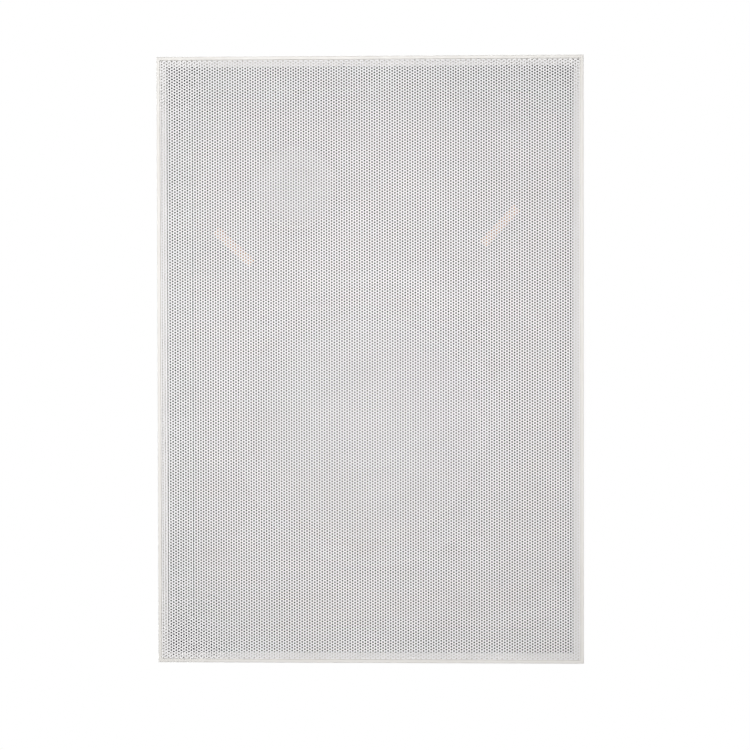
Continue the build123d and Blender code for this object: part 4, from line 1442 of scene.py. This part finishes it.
@dataclass(frozen=True)
class Studio:
    """Floor, soft light, white surround and camera."""

    floor_z: float = -0.4
    floor_r: float = 1.2
    floor_sides: int = 96
    floor_bounce: float = 0.3
    floor_glow: float = 0.45
    ambient: float = 0.25
    eye: Point = (0.0808, -1.6, 0.028)
    yaw_deg: float = -2.807
    pitch_deg: float = -1.282
    roll_deg: float = -0.113
    lens: float = 148.66
    aim: Point = (-0.004, 0.0, -0.014)
    lamps: tuple[tuple[str, Point, float, float, float], ...] = (
        ("key", (-0.14, -1.26, 0.27), 0.4, 1.235, 50.0),
        ("left", (-1.1, 0.25, 0.35), 0.8, 6.0, 180.0),
        ("right", (1.1, 0.4, 0.3), 0.8, 4.0, 180.0),
        ("back", (-0.5, 1.5, 0.8), 1.2, 25.0, 180.0),
    )

    def build(self) -> None:
        """Sets up the floor, the light and the camera."""
        self.floor()
        self.surround()
        for lamp in self.lamps:
            self.lamp(*lamp)
        self.camera()
        bpy.context.scene.view_settings.view_transform = "Standard"

    def seen(self, bench: NodeBench) -> bpy.types.NodeSocket:
        """Tells the camera, reflections and clear material from other light.

        Args:
            bench: Where the nodes are added.

        Returns:
            1 where one of them looks, and 0 for other light.
        """
        path = bench.add("ShaderNodeLightPath").outputs
        seen = bench.math("MAXIMUM", path["Is Camera Ray"], path["Is Glossy Ray"])
        return bench.math("MAXIMUM", seen, path["Is Transmission Ray"])

    def floor(self) -> None:
        """Makes the pale floor under the object, which throws little light back up."""
        mesh = bmesh.new()
        place = Matrix.Translation((0.0, 0.0, self.floor_z))
        sides, radius = self.floor_sides, self.floor_r
        bmesh.ops.create_circle(mesh, cap_ends=True, segments=sides, radius=radius, matrix=place)
        data = bpy.data.meshes.new("floor")
        mesh.to_mesh(data)
        mesh.free()
        made = bpy.data.objects.new("floor", data)
        bpy.context.scene.collection.objects.link(made)
        material = FLOOR_PALE.material("floor_finish")
        bench = NodeBench(material.node_tree)
        shader = material.node_tree.nodes["Principled BSDF"].inputs
        seen = self.seen(bench)
        pale = shader["Base Color"].links[0].from_socket
        tones = {0: seen, 6: (*gray(self.floor_bounce), 1.0), 7: pale}
        color = bench.add("ShaderNodeMix", tones, data_type="RGBA").outputs[2]
        bench.tree.links.new(color, shader["Base Color"])
        shader["Emission Color"].default_value = (1.0, 1.0, 1.0, 1.0)
        bench.tree.links.new(bench.math("MULTIPLY", seen, self.floor_glow), shader["Emission Strength"])
        data.materials.append(material)

    def surround(self) -> None:
        """Lights the scene evenly, and shows white to the camera and in reflections."""
        world = bpy.data.worlds.new("studio")
        bpy.context.scene.world = world
        world.use_nodes = True
        bench = NodeBench(world.node_tree)
        world.node_tree.nodes.clear()
        even = {"Color": (1, 1, 1, 1), "Strength": self.ambient}
        light = bench.add("ShaderNodeBackground", even).outputs[0]
        white = bench.add("ShaderNodeBackground", {**even, "Strength": 1.0}).outputs[0]
        mixed = bench.add("ShaderNodeMixShader", {0: self.seen(bench), 1: light, 2: white}).outputs[0]
        bench.add("ShaderNodeOutputWorld", {"Surface": mixed})

    def lamp(self, name: str, place: Point, size: float, power: float, spread: float) -> None:
        """Adds a square soft light that points near the middle of the panel.

        Args:
            name: The lamp's name.
            place: Its middle.
            size: Its side.
            power: Its power in watts.
            spread: The angle of its beam in degrees.
        """
        light = bpy.data.lights.new(name, "AREA")
        light.size = size
        light.energy = power
        light.spread = math.radians(spread)
        made = bpy.data.objects.new(name, light)
        made.location = place
        away = Vector(place) - Vector(self.aim)
        made.rotation_euler = away.to_track_quat("Z", "Y").to_euler()
        bpy.context.scene.collection.objects.link(made)

    def camera(self) -> None:
        """Sets the camera where the photograph's was."""
        yaw, pitch, roll = (math.radians(a) for a in (self.yaw_deg, self.pitch_deg, self.roll_deg))
        look = Vector((math.sin(yaw) * math.cos(pitch), math.cos(yaw) * math.cos(pitch), math.sin(pitch)))
        level = Vector((math.cos(yaw), -math.sin(yaw), 0.0))
        up = level.cross(look)
        right = math.cos(roll) * level + math.sin(roll) * up
        up = right.cross(look)
        lens = bpy.data.cameras.new("camera")
        lens.lens = self.lens
        made = bpy.data.objects.new("camera", lens)
        turned = Matrix((right, up, -look)).transposed().to_4x4()
        made.matrix_world = Matrix.Translation(self.eye) @ turned
        bpy.context.scene.collection.objects.link(made)
        bpy.context.scene.camera = made


def main() -> None:
    """Builds every sub-assembly."""
    logging.basicConfig(level=logging.INFO, format="%(name)s: %(message)s")
    for assembly in (Studio(), Grille.of_frame(), Woofer(), Tweeter(), Crossover(), Clamps(), CarriedNodes()):
        assembly.build()


if __name__ == "__main__":
    main()
